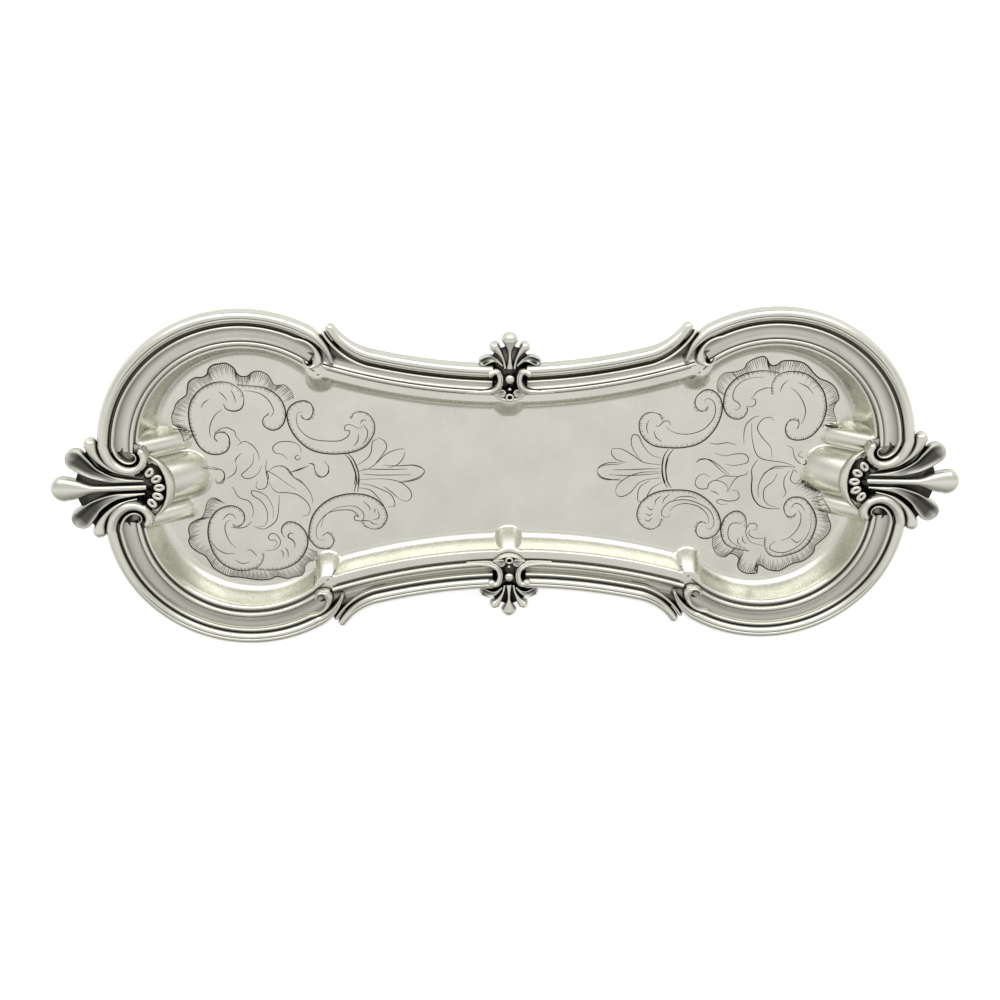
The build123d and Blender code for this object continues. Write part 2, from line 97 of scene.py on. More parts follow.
@dataclass(frozen=True)
class TrayPlan:
    """The plan and the heights that the dish and every mount share, in millimetres."""

    length: float = 254.0
    lobe_radius: float = 40.0
    lobe_spread: float = 9.8
    palmette_reach: float = 13.5
    waist_half_width: float = 33.7
    waist_radius: float = 163.05
    shoulder_inset: float = 23.2
    sheet: float = 0.9
    rim_height: float = 7.4
    rim_rise: float = 3.86
    roll_width: float = 3.95
    groove_width: float = 0.2
    bead_width: float = 1.35

    @property
    def lobe_x(self) -> float:
        """Gives how far a lobe's circles stand from the middle of the tray."""
        return self.length / 2 - self.palmette_reach - self.lobe_radius

    @property
    def lobe_end(self) -> float:
        """Gives where the moulding of a lobe ends, along the tray."""
        return self.lobe_x + self.lobe_radius

    @property
    def shoulder_x(self) -> float:
        """Gives where the waist meets the lobe, along the tray."""
        return self.lobe_x - self.shoulder_inset

    @property
    def lobe_centre(self) -> Point:
        """Gives the centre of one quarter's lobe circle."""
        return self.lobe_x, self.lobe_spread

    @property
    def waist_centre(self) -> Point:
        """Gives the centre of the waist's outside curve."""
        return 0.0, self.waist_half_width + self.waist_radius

    @property
    def bead_in(self) -> float:
        """Gives how far inside the moulding's outside the bead ends."""
        return self.roll_width + self.groove_width + self.bead_width

    def rim(self, x: float) -> float:
        """Gives the height of the flange's top at a place along the tray."""
        climb = max(abs(x) - self.shoulder_x, 0.0)
        return self.rim_height + climb * math.tan(math.radians(self.rim_rise))

    def on_lobe(self) -> Matrix:
        """Gives the move from a level flange at height 0 to the rising one of the lobe."""
        pivot = Matrix.Translation((self.shoulder_x, 0, self.rim_height))
        tilt = Matrix.Rotation(math.radians(-self.rim_rise), 4, "Y")
        return pivot @ tilt @ Matrix.Translation((-self.shoulder_x, 0, 0))

    def on_waist(self) -> Matrix:
        """Gives the move from a level flange at height 0 to the one along the waist."""
        return Matrix.Translation((0, 0, self.rim_height))


@dataclass(frozen=True)
class Station:
    """One place along a cast strand, in millimetres.

    hollow scoops the crown out, up to 1, and cut lets in a fine line beside its middle.
    """

    x: float
    y: float
    half: float
    crest: float
    hollow: float = 0.0
    cut: float = 0.0


@dataclass(frozen=True)
class Strand:
    """A cast member drawn through stations, flat below and round above.

    facets counts the faces across the crown. cut_at and rim place a fine line and the edge
    of a hollow on it, from -1 to 1. skirt is how high its sides stand, as a share of the
    crest, and dim is how much painted shade darkens them. A blunt end has a round nose.
    """

    stations: tuple[Station, ...]
    facets: int = 14
    cut_at: float = -0.1
    skirt: float = 0.25
    blunt: bool = True
    back_blunt: bool = False
    rim: float = 0.8
    dim: float = 0.2

    @cached_property
    def incised(self) -> bool:
        """Tells whether a fine line runs along it."""
        return any(row.cut for row in self.stations)

    @cached_property
    def sides(self) -> list[float]:
        """Gives the places across the crown from -1 to 1, with three for a fine line."""
        sides = [-math.cos(math.pi * i / self.facets) for i in range(self.facets + 1)]
        if self.incised:
            sides += [self.cut_at + step for step in (-LINE_HALF, 0.0, LINE_HALF)]
        return sorted(sides)

    def rounded(self, rows: list[Station]) -> list[Station]:
        """Adds stations that close the far end with a blunt round nose."""
        before, last = rows[-2:]
        run = math.hypot(last.x - before.x, last.y - before.y)
        ends = []
        for turn in NOSE_TURNS:
            near = math.cos(math.radians(turn))
            far = last.half * math.sin(math.radians(turn)) / run
            ends.append(
                replace(
                    last,
                    x=last.x + (last.x - before.x) * far,
                    y=last.y + (last.y - before.y) * far,
                    half=last.half * near,
                    crest=last.crest * mix(NOSE_LOW, 1.0, near),
                    hollow=last.hollow * near**2,
                )
            )
        return rows + ends

    def crown(self, station: Station, side: float) -> float:
        """Gives the height of the crown at a side from -1 to 1."""
        low = self.skirt * station.crest
        square = 2 + 4 * station.hollow
        height = low + (station.crest - low) * math.sqrt(max(1 - abs(side) ** square, 0.0))
        dip = max(1 - (side / self.rim) ** 2, 0.0)
        height -= station.hollow * HOLLOW_DEPTH * station.crest * dip
        line = math.exp(-(((side - self.cut_at) / LINE_HALF) ** 2))
        return height - station.cut * LINE_DEPTH * line

    def rings(self) -> list[Ring]:
        """Gives the cross sections, each upright across the strand's heading."""
        rows = list(self.stations)
        if self.blunt:
            rows = self.rounded(rows)
        if self.back_blunt:
            rows = self.rounded(rows[::-1])[::-1]
        made = []
        for index, row in enumerate(rows):
            before, after = rows[max(index - 1, 0)], rows[min(index + 1, len(rows) - 1)]
            heading = Vector((after.x - before.x, after.y - before.y)).normalized()
            ring = [(-row.half, SUNK)]
            ring += [(row.half * side, self.crown(row, side)) for side in self.sides]
            ring += [(row.half, SUNK), ring[0]]
            made.append([(row.x - heading.y * u, row.y + heading.x * u, h) for u, h in ring])
        return made

    def shade_level(self, across: int, along: int) -> float:
        """Gives a point's painted shade: black in its fine line, dim on its sides and in a hollow.
        """
        spot = across - 1
        if not 0 <= spot < len(self.sides):
            return 1.0
        side, last = self.sides[spot], len(self.stations) - 1
        step = along - len(NOSE_TURNS) * self.back_blunt
        row = self.stations[min(max(step, 0), last)]
        fade = 0.24 * max(step - last, 0)
        # Painted shade low on the sides, a painted dark reflection in a hollow, and black in the
        # incised line.
        low = self.dim * (1 - eased(0.0, 0.75, 1 - abs(side)))
        hollow = row.hollow * 0.9 * max(1 - (side / 0.78) ** 6 - fade, 0.0)
        line = row.cut if self.incised and side == self.cut_at else 0.0
        return max(low, hollow, line)


def spline(rows: Iterable[Station], steps: int = 8) -> tuple[Station, ...]:
    """Runs a smooth curve through a few stations.

    Args:
        rows: the stations that it passes.
        steps: how many steps it takes from one to the next.

    Returns:
        The stations of the curve.
    """
    points = list(rows)
    values, last = [astuple(point) for point in points], len(points) - 1
    made = []
    for index in range(last):
        near = [values[max(min(index + step, last), 0)] for step in (-1, 0, 1, 2)]
        for step in range(steps):
            t = step / steps
            weights = (
                -0.5 * t + t * t - 0.5 * t**3,
                1 - 2.5 * t * t + 1.5 * t**3,
                0.5 * t + 2 * t * t - 1.5 * t**3,
                -0.5 * t * t + 0.5 * t**3,
            )
            made.append(
                Station(*(sum(w * v for w, v in zip(weights, column)) for column in zip(*near)))
            )
    return (*made, points[-1])


def shaped(at: Point, rows: Iterable[Run], facets: int, **form: Any) -> Strand:
    """Gives a strand through a few stations that are set out from a place in plan.

    Args:
        at: the place in plan.
        rows: the numbers of each station, of which the first two are added to the place.
        facets: how many faces the crown has across.
        form: the strand's other values.

    Returns:
        The strand, along a smooth curve.
    """
    stations = (Station(at[0] + x, at[1] + y, *rest) for x, y, *rest in rows)
    return Strand(spline(stations), facets, **form)


def flipped(strand: Strand, ways: tuple[int, int]) -> Strand:
    """Gives the mirror copy of a strand."""
    rows = (replace(row, x=row.x * ways[0], y=row.y * ways[1]) for row in strand.stations)
    return replace(strand, stations=tuple(rows))


def paired(strands: Iterable[Strand], ways: tuple[int, int]) -> list[Strand]:
    """Gives each strand with its mirror copy."""
    return [one for strand in strands for one in (strand, flipped(strand, ways))]


def arc(
    centre: Point, start: float, sweep: float, steps: int, at: Callable[[float], Member]
) -> list[Station]:
    """Lays stations along an arc.

    Args:
        centre: the arc's centre.
        start: the first angle, in degrees.
        sweep: the turn, in degrees.
        steps: how many steps it takes.
        at: gives the radius, half width, crest and cut at a share of the turn.

    Returns:
        The stations, in order.
    """
    rows = []
    for step in range(steps + 1):
        radius, half, crest, cut = at(step / steps)
        place = polar(centre, start + sweep * (step / steps), radius)
        rows.append(Station(*place, half, crest, 0, cut))
    return rows


@dataclass(frozen=True)
class Volute:
    """A member's end that winds in round an eye and settles at a radius.

    sweep is its turn in degrees, and ease is the share of it that the drawing in takes.
    """

    sweep: float
    radius: float
    ease: float
    half: float
    crest: float
    steps: int

    def wound(self, eye: Point, first: Station) -> list[Station]:
        """Lays the stations from the first one inwards."""
        start, reach = seen_from(eye, (first.x, first.y))
        rows = []
        for step in range(self.steps + 1):
            share = step / self.steps
            radius = mix(self.radius, reach, math.exp(-share / self.ease))
            grown = min(1.6 * share, 1)
            size = mix(first.half, self.half, grown), mix(first.crest, self.crest, grown)
            rows.append(Station(*polar(eye, start + self.sweep * share, radius), *size))
        return rows


def shade_and_patina_layer(shape: bmesh.types.BMesh) -> bmesh.types.BMLayerItem:
    """Gives the layer that holds each point's painted shade, with its patina, in a mesh."""
    layers = shape.verts.layers.float
    return layers.get(SHADE_AND_PATINA) or layers.new(SHADE_AND_PATINA)


def skin(
    shape: bmesh.types.BMesh,
    rings: list[Ring],
    closed: bool = False,
    shade_and_patina: Callable[[int, int], float] | None = None,
) -> None:
    """Lays a grid through rings of points, and closes its open ends.

    Args:
        shape: the mesh that the skin is added to.
        rings: rings with the same count of points.
        closed: whether the last ring is the first one again, so that no end is open.
        shade_and_patina: gives each point's painted shade, up to 1, by its place across and along.
    """
    across, along = len(rings[0]) - 1, len(rings) - 1
    shade_key = shade_and_patina_layer(shape)
    made = bmesh.ops.create_grid(shape, x_segments=across, y_segments=along, size=0.5)
    for vert in made["verts"]:
        column, row = round((vert.co.x + 0.5) * across), round((vert.co.y + 0.5) * along)
        vert.co = rings[row][column]
        # Each point's painted shade goes into the layer.
        vert[shade_key] = shade_and_patina(column, row) if shade_and_patina else 0.0
    edges = [edge for vert in made["verts"] for edge in vert.link_edges]
    bmesh.ops.remove_doubles(shape, verts=made["verts"], dist=WELD)
    if not closed:
        rim = {edge for edge in edges if edge.is_valid and edge.is_boundary}
        bmesh.ops.holes_fill(shape, edges=list(rim), sides=0)


def add_strands(shape: bmesh.types.BMesh, strands: Iterable[Strand]) -> None:
    """Adds strands with their painted shade."""
    for strand in strands:
        skin(shape, strand.rings(), shade_and_patina=strand.shade_level)


def add_plate(
    shape: bmesh.types.BMesh, half: list[Point], ways: tuple[int, int], height: float
) -> None:
    """Adds a flat ground, painted dark as the shade between the members.

    Args:
        shape: the mesh that it is added to.
        half: half of its outline, from its middle line round to the same line.
        ways: how the other half is mirrored, 1 or -1 along the tray and across it.
        height: the height of its top.
    """
    shade_key = shade_and_patina_layer(shape)
    other = [(x * ways[0], y * ways[1]) for x, y in reversed(half)]
    outline = half + [point for point in other if point not in half]
    face = shape.faces.new([shape.verts.new((x, y, SUNK)) for x, y in outline])
    raised = bmesh.ops.extrude_face_region(shape, geom=[face])
    top = [item for item in raised["geom"] if isinstance(item, bmesh.types.BMVert)]
    bmesh.ops.translate(shape, vec=(0, 0, height - SUNK), verts=top)
    # The plate's top is painted dark to stand for shade.
    for vert in top:
        vert[shade_key] = PLATE_SHADE


def add_pad(shape: bmesh.types.BMesh, centre: Point, radius: float, high: float = 0.55) -> None:
    """Adds the round ground of a volute, painted dim as shade."""
    shade_key = shade_and_patina_layer(shape)
    deep = high - SUNK
    pad = bmesh.ops.create_cone(
        shape, cap_ends=True, segments=40, radius1=radius, radius2=radius, depth=deep
    )
    bmesh.ops.translate(shape, vec=(*centre, high - deep / 2), verts=pad["verts"])
    # The pad is painted dim to stand for shade inside the volute.
    for vert in pad["verts"]:
        vert[shade_key] = PAD_SHADE


def add_drop(shape: bmesh.types.BMesh, centre: Point, base: float, radii: Spot) -> None:
    """Adds a small rounded bead."""
    ball = bmesh.ops.create_uvsphere(shape, u_segments=24, v_segments=14, radius=1.0)
    bmesh.ops.scale(shape, vec=radii, verts=ball["verts"])
    bmesh.ops.translate(shape, vec=(*centre, base), verts=ball["verts"])


def add_ring(
    shape: bmesh.types.BMesh, centre: Point, base: float, turn: float, size: Spot
) -> None:
    """Adds an oval ring, as of a pierced bead.

    Args:
        shape: the mesh that it is added to.
        centre: its place in plan.
        base: the height of its middle.
        turn: the angle of its long side, in degrees.
        size: half its length, half its width and the radius of its wire.
    """
    long, wide, wire = size
    cosine, sine = math.cos(math.radians(turn)), math.sin(math.radians(turn))
    rings = []
    for around in (2 * math.pi * step / 24 for step in range(25)):
        ring = []
        for bend in (2 * math.pi * side / 10 for side in range(11)):
            reach = wire * math.cos(bend)
            x = (long + reach - wire) * math.cos(around)
            y = (wide + reach - wire) * math.sin(around)
            place = centre[0] + x * cosine - y * sine, centre[1] + x * sine + y * cosine
            ring.append((*place, base + wire * 1.2 * math.sin(bend)))
        rings.append(ring)
    skin(shape, rings, closed=True)


def add_piece(
    name: str, shape: bmesh.types.BMesh, finish: bpy.types.Material
) -> bpy.types.Object:
    """Makes an object at the origin from a shape in metres, which it frees."""
    mesh = bpy.data.meshes.new(name)
    shape.to_mesh(mesh)
    shape.free()
    mesh.materials.append(finish)
    piece = bpy.data.objects.new(name, mesh)
    bpy.context.collection.objects.link(piece)
    return piece


def declare(piece: bpy.types.Object, node: str | None) -> None:
    """Says what a piece rides on and the solid it stands for, if any."""
    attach(piece, "root")
    if node:
        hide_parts(node)
    log.info("%s: %d faces", piece.name, len(piece.data.polygons))


class Side(Enum):
    """The four quarters, by the way that each is mirrored from the right-hand back one."""

    RIGHT_BACK = (1, 1)
    RIGHT_FRONT = (1, -1)
    LEFT_BACK = (-1, 1)
    LEFT_FRONT = (-1, -1)

    @property
    def label(self) -> str:
        """Gives the end that a node's name takes."""
        return self.name.lower()


class Wiring:
    """The nodes of a material or of the world, with short ways to add and join them."""

    def __init__(self, owner: bpy.types.Material | bpy.types.World) -> None:
        """Turns the owner's nodes on."""
        owner.use_nodes = True
        self.nodes, self.links = owner.node_tree.nodes, owner.node_tree.links

    def feed(self, node: bpy.types.Node, inputs: dict[str | int, Any]) -> bpy.types.Node:
        """Links sockets to a node's inputs and sets plain values on the others."""
        for name, source in inputs.items():
            if isinstance(source, Socket):
                self.links.new(source, node.inputs[name])
            else:
                node.inputs[name].default_value = source
        return node

    def add(
        self, kind: str, inputs: dict[str | int, Any] | None = None, **settings: Any
    ) -> bpy.types.Node:
        """Adds a node of a kind, with its own settings and its inputs."""
        node = self.nodes.new(f"ShaderNode{kind}")
        for name, value in settings.items():
            setattr(node, name, value)
        return self.feed(node, inputs or {})

    def maths(self, operation: str, first: Socket, second: Socket | float) -> Socket:
        """Works one value out of two."""
        return self.add("Math", {0: first, 1: second}, operation=operation).outputs["Value"]

    def spread(self, source: Socket, span: Member) -> Socket:
        """Maps a value from one span to another, clamped."""
        names = ("From Min", "From Max", "To Min", "To Max")
        node = self.add("MapRange", {"Value": source, **dict(zip(names, span))})
        return node.outputs["Result"]

    def blend(self, share: Socket, first: Socket | Run, second: Run) -> Socket:
        """Mixes two colours."""
        inputs = {"Factor": share, "A": first, "B": second}
        return self.add("Mix", inputs, data_type="RGBA").outputs["Result"]

    def white_share(self, mirrored: float) -> Socket:
        """Gives how much of the plain white a ray sees.

        Args:
            mirrored: the share that a mirrored ray sees.

        Returns:
            A socket that is 1 for what is seen straight or through glass.
        """
        path = self.add("LightPath").outputs
        straight = self.maths("MAXIMUM", path["Is Camera Ray"], path["Is Transmission Ray"])
        glossy = self.maths("MULTIPLY", path["Is Glossy Ray"], mirrored)
        return self.maths("MAXIMUM", straight, glossy)


@dataclass(frozen=True)
class SilverFinish:
    """Old silver whose recesses are darkened by painted shade and by their patina.

    colour and dark are linear, and dark is the painted shade and patina of recesses. reach
    is the width of recess that is painted dark, in metres. polish is the least roughness,
    and wear is what fine scratches add to it. A point is bright where its share of open
    sky is over the unshaded level, and painted dark where it is under the shade level.
    """

    name: str
    colour: Spot = (0.825, 0.815, 0.72)
    dark: Spot = (0.022, 0.020, 0.016)
    polish: float = 0.16
    wear: float = 0.10
    reach: float = 0.0020
    unshaded_level: float = 0.74
    shade_level: float = 0.20

    def material(self) -> bpy.types.Material:
        """Makes the material.

        Returns:
            A node material with scratches, clouding, and painted shade with patina in recesses.
        """
        made = bpy.data.materials.new(self.name)
        wiring = Wiring(made)
        place = wiring.add("TexCoord").outputs["Object"]

        def noise(scale: float, detail: float, span: Point) -> tuple[Socket, Socket]:
            """Adds a noise, and gives it plain and mapped to a span."""
            inputs = {"Vector": place, "Scale": scale, "Detail": detail}
            plain = wiring.add("TexNoise", inputs).outputs["Fac"]
            return plain, wiring.spread(plain, (0.3, 0.7, *span))

        # Painted shade: ambient occlusion darkens recesses narrower than reach, together with
        # their patina.
        hollow = wiring.add("AmbientOcclusion", {"Distance": self.reach}, samples=12)
        unshaded = wiring.spread(hollow.outputs["AO"], (self.shade_level, self.unshaded_level, 0.0, 1.0))
        clouds = noise(70.0, 4.0, (0.90, 1.0))[1]
        # The per-point layer adds painted shade in fine lines, hollows, coves and grounds.
        shade_and_patina = wiring.add("Attribute", attribute_name=SHADE_AND_PATINA).outputs["Fac"]
        left = wiring.spread(shade_and_patina, (0.0, 1.0, 1.0, 0.0))
        # How far each point keeps its colour rather than the painted dark of shade and patina.
        brightness = wiring.maths("MULTIPLY", wiring.maths("MULTIPLY", unshaded, clouds), left)
        scratches, gloss = noise(420.0, 3.0, (self.polish, self.polish + self.wear))
        bump = wiring.add("Bump", {"Strength": 0.06, "Distance": 0.0002, "Height": scratches})
        look = {
            "Metallic": 1.0,
            "Base Color": wiring.blend(brightness, (*self.dark, 1), (*self.colour, 1)),
            "Roughness": gloss,
            "Normal": bump.outputs["Normal"],
        }
        wiring.feed(wiring.nodes["Principled BSDF"], look)
        return made


@dataclass
class Casting:
    """A cast mount: gathers its shapes on a level flange, then lifts and mirrors them."""

    slot: ClassVar[str] = "cast_silver"

    plan: TrayPlan
    finish: bpy.types.Material

    def shapes(self) -> bmesh.types.BMesh:
        """Makes the right-hand or back copy on a level flange, in millimetres."""
        raise NotImplementedError

    def lift(self) -> Matrix:
        """Gives the move on to the flange."""
        return self.plan.on_lobe()

    def place(self, name: str, node: str | None, ways: tuple[int, int]) -> None:
        """Makes one mirrored copy as its own piece.

        Args:
            name: the piece's name.
            node: the solid that it stands for, if any.
            ways: 1 or -1 along the tray and across it.
        """
        shape = self.shapes()
        bmesh.ops.transform(shape, matrix=self.lift(), verts=shape.verts)
        bmesh.ops.scale(shape, vec=(ways[0] * MM, ways[1] * MM, MM), verts=shape.verts)
        bmesh.ops.recalc_face_normals(shape, faces=shape.faces)
        for face in shape.faces:
            face.smooth = True
        declare(add_piece(name, shape, self.finish), node)


@dataclass
class Moulding(Casting):
    """A scroll mount whose roll, bead, cove and ridge keep one section."""

    roll_crest: float = 2.75
    bead_crest: float = 2.1
    cove_width: float = 3.3
    cove_floor: float = 0.5
    cove_rise: float = 0.75
    cove_under: float = 1.4
    ridge_half: float = 0.55
    ridge_base: float = 1.05
    ridge_foot: float = 1.15
    edge: float = 1.2
    edge_height: float = 0.9

    def ground(
        self,
        shape: bmesh.types.BMesh,
        circle: tuple[Point, float, int],
        angles: tuple[float, float],
        steps: int,
    ) -> None:
        """Adds the ground, its cove and its inner ridge, turned on a circle.

        Args:
            shape: the mesh that it is added to.
            circle: the centre and radius of the moulding's outside, and 1 where the tray
                lies inside that circle or -1 where it lies outside.
            angles: where it starts and stops, in degrees.
            steps: how many steps it takes.
        """
        centre, radius, inwards = circle
        ridge = self.plan.bead_in + self.cove_width
        start = self.plan.bead_in - self.cove_under
        section = [(self.edge, SUNK), (self.edge, self.edge_height)]
        section += [
            (mix(start, ridge, i / 10), self.cove_floor + self.cove_rise * (2 * i / 10 - 1) ** 2)
            for i in range(11)
        ]
        for turn in (math.pi * i / 8 for i in range(9)):
            run, rise = self.ridge_half * math.cos(turn), self.ridge_half * math.sin(turn)
            section.append((ridge + self.ridge_half - run, self.ridge_base + rise))
        section += [(ridge + self.ridge_foot, SUNK), (self.edge, SUNK)]
        # Painted shade across the section: dark at the outer edge, darkest in the cove beside the
        # bead and lighter towards the ridge, dark again where the cove meets the ridge and at the
        # ridge's inner foot, none on the ridge.
        fading = (0.75 * (1 - i / 10) ** 2.0 + 0.08 for i in range(9))
        dark = [0.8, 0.9, *fading, 0.35, 0.9, *[0.0] * 9, 1.0, 0.9]
        rings = []
        for step in range(steps + 1):
            angle = mix(*angles, step / steps)
            rings.append(
                [(*polar(centre, angle, radius - inwards * depth), z) for depth, z in section]
            )
        skin(shape, rings, shade_and_patina=lambda across, along: dark[across])


@dataclass
class LobeScroll(Moulding):
    """The scroll mount around one quarter of an end.

    Places around the lobe's circle are angles in degrees.
    """

    end_start: float = 4.0
    cove_start: float = 1.2
    end_roll_width: float = 3.5
    shoulder_start: float = 119.0
    shoulder_bend: float = 14.0
    shoulder_sweep: float = 43.5
    shoulder_half: float = 0.7
    bead_stop: float = 116.0
    volute_crest: float = 3.2
    roll_end: Volute = Volute(-232, 2.9, 0.28, 1.45, 3.2, 60)
    bead_end: Volute = Volute(-290, 1.0, 0.2, 0.36, 2.4, 44)
    bead_shoulder: Volute = Volute(300, 1.5, 0.19, 0.675, 3.2, 72)
    end_eye_inset: float = 9.4
    end_eye_drop: float = 0.7
    end_pad: float = 3.5
    shoulder_eye_angle: float = 126.5
    shoulder_eye_inset: float = 8.2
    shoulder_pad: float = 2.0
    roll_inset: float = 0.09
    swell: float = 0.95
    swell_at: float = 0.42
    swell_spread: float = 0.17
    thinning: float = 0.25

    @property
    def end_eye(self) -> Point:
        """Gives the middle of the volute beside the end palmette."""
        plan = self.plan
        return plan.lobe_end - self.end_eye_inset, plan.lobe_spread - self.end_eye_drop

    @property
    def shoulder_eye(self) -> Point:
        """Gives the middle of the volute at the shoulder."""
        radius = self.plan.lobe_radius - self.shoulder_eye_inset
        return polar(self.plan.lobe_centre, self.shoulder_eye_angle, radius)

    def roll_at(self, angle: float) -> float:
        """Gives the roll's width, which narrows towards the end palmette."""
        return mix(self.end_roll_width, self.plan.roll_width, eased(8, 75, angle))

    def roll(self) -> Strand:
        """Gives the roll, from the end volute round to the shoulder."""
        plan = self.plan

        def ring(share: float) -> Member:
            """Gives the roll around the lobe."""
            angle = mix(self.end_start, self.shoulder_start, share)
            half, cut = self.roll_at(angle) / 2, eased(25, 45, angle)
            return plan.lobe_radius - half - self.roll_inset, half, self.roll_crest, cut

        def turned(share: float) -> Member:
            """Gives the roll where it turns in at the shoulder and narrows."""
            half = mix(plan.roll_width / 2, self.shoulder_half, share)
            return self.shoulder_bend, half, mix(self.roll_crest, self.volute_crest, share), 1.0

        half = self.roll_at(self.end_start) / 2
        begin = polar(plan.lobe_centre, self.end_start, plan.lobe_radius - half)
        curl = self.roll_end.wound(self.end_eye, Station(*begin, half, self.roll_crest))
        sweep = self.shoulder_start - self.end_start
        around = arc(plan.lobe_centre, self.end_start, sweep, 96, ring)
        reach = plan.lobe_radius - plan.roll_width / 2 - self.shoulder_bend
        bend = polar(plan.lobe_centre, self.shoulder_start, reach)
        shoulder = arc(bend, self.shoulder_start, self.shoulder_sweep, 18, turned)
        rows = curl[::-1] + around[1:] + shoulder[1:]
        return Strand(tuple(rows), 18, 0.12, 0.12, back_blunt=True)

    def bead(self) -> Strand:
        """Gives the bead, from inside the end volute to its own volute at the shoulder."""
        plan = self.plan
        half = plan.bead_width / 2

        def ring(share: float) -> Member:
            """Gives the bead around the lobe, a groove's width inside the roll."""
            inset = self.roll_at(mix(self.end_start, self.bead_stop, share)) + plan.groove_width
            return plan.lobe_radius - (inset + half), half, self.bead_crest, 0.0

        sweep = self.bead_stop - self.end_start
        around = arc(plan.lobe_centre, self.end_start, sweep, 96, ring)
        curl = self.bead_end.wound(self.end_eye, around[0])
        rows = curl[::-1] + around[1:]
        volute = self.bead_shoulder.wound(self.shoulder_eye, around[-1])
        for step, row in enumerate(volute[1:], 1):
            share = step / self.bead_shoulder.steps
            swell = self.swell * math.exp(-(((share - self.swell_at) / self.swell_spread) ** 2))
            rows.append(replace(row, half=half + swell - self.thinning * share))
        return Strand(tuple(rows), 12, back_blunt=True)

    def shapes(self) -> bmesh.types.BMesh:
        """Makes the right-hand back scroll on a level flange."""
        plan = self.plan
        shape = bmesh.new()
        stop = seen_from(plan.lobe_centre, self.shoulder_eye)[0]
        circle = plan.lobe_centre, plan.lobe_radius, 1
        self.ground(shape, circle, (self.cove_start, stop), 90)
        add_strands(shape, (self.roll(), self.bead()))
        # The pads are painted dim as shade inside the volutes.
        add_pad(shape, self.end_eye, self.end_pad)
        add_pad(shape, self.shoulder_eye, self.shoulder_pad)
        add_drop(shape, self.end_eye, 0.6, (0.28, 0.28, 0.5))
        return shape


@dataclass
class WaistScroll(Moulding):
    """The scroll mount along one quarter of the waist.

    start and flare_start are lengths along the tray, and flare_sweep is in degrees.
    """

    start: float = 4.7
    flare_start: float = 12.3
    flare_radius: float = 16.0
    flare_sweep: float = 42.0
    flare_tip_half: float = 1.4
    flare_crest: float = 2.0
    hook_reach: float = 4.8
    hook_inset: float = 4.0
    cove_width: float = 1.9

    def lift(self) -> Matrix:
        """Gives the move on to the flange along the waist."""
        return self.plan.on_waist()

    def angle_of(self, run: float, depth: float = 0.0) -> float:
        """Gives the angle at the waist's centre of a place along the tray."""
        return math.degrees(math.asin(run / (self.plan.waist_radius + depth))) - 90

    def member(self, depths: Point, halves: Point, crest: float, cut: float) -> Strand:
        """Gives a member that follows the waist and turns outwards with the flare.

        Args:
            depths: how far inside the moulding's outside it lies, at the waist and the tip.
            halves: its half width at the waist and at the tip.
            crest: its height along the waist.
            cut: how deep its fine line is along the waist.
        """
        plan = self.plan

        def level(share: float) -> Member:
            """Gives the member along the waist."""
            return plan.waist_radius + depths[0], halves[0], crest, cut

        def flared(share: float) -> Member:
            """Gives the member along the flare."""
            size = mix(*halves, share), mix(crest, self.flare_crest, share)
            fading = 1 - eased(0.4, 0.8, share)
            return self.flare_radius + mix(*depths, share), *size, cut * fading

        begin, leave = self.angle_of(self.start), self.angle_of(plan.shoulder_x - self.flare_start)
        centre = polar(plan.waist_centre, leave, plan.waist_radius - self.flare_radius)
        rows = arc(plan.waist_centre, begin, leave - begin, 50, level)
        rows += arc(centre, leave, self.flare_sweep, 26, flared)[1:]
        return Strand(tuple(rows), 16, -0.12, 0.12)

    def hook(self) -> Strand:
        """Gives the scroll that curls out of the ridge beside the side palmette."""
        rows = (
            (7.5, -3.85, 0.5, 1.5),
            (2.3, -3.8, 0.85, 1.9, 0, 0.5),
            (-0.2, -3.4, 1.0, 2.3, 0, 0.9),
            (-1.8, -2.1, 1.1, 2.7, 0, 0.9),
            (-2.2, 0, 1.1, 2.9, 0, 0.9),
            (-1.7, 1.7, 1.1, 3.0, 0, 0.9),
            (-0.6, 2.2, 1.15, 3.1, 0, 0.4),
            (0.4, 1.65, 1.3, 3.2),
        )
        middle = self.hook_reach, self.plan.waist_half_width - self.hook_inset
        return shaped(middle, rows, 14, cut_at=0.3)

    def shapes(self) -> bmesh.types.BMesh:
        """Makes the right-hand back scroll on a level flange."""
        plan = self.plan
        shape = bmesh.new()
        angles = self.angle_of(self.start), self.angle_of(plan.shoulder_x, plan.bead_in)
        self.ground(shape, (plan.waist_centre, plan.waist_radius, -1), angles, 60)
        widths, bead_half = (plan.roll_width / 2, self.flare_tip_half), plan.bead_width / 2
        roll = self.member(widths, widths, self.roll_crest, 1.0)
        depths = tuple(2 * width + plan.groove_width + bead_half for width in widths)
        bead = self.member(depths, (bead_half, bead_half), self.bead_crest, 0.0)
        # A low wide strip under the bead where it flares, painted dark as the shade around it.
        rows = (
            replace(row, half=row.half * 1.5, crest=0.9, cut=0.0) for row in bead.stations[45:70]
        )
        web = replace(roll, stations=tuple(rows))
        add_strands(shape, (roll, bead, self.hook()))
        skin(shape, web.rings(), shade_and_patina=lambda across, along: WEB_SHADE)
        return shape


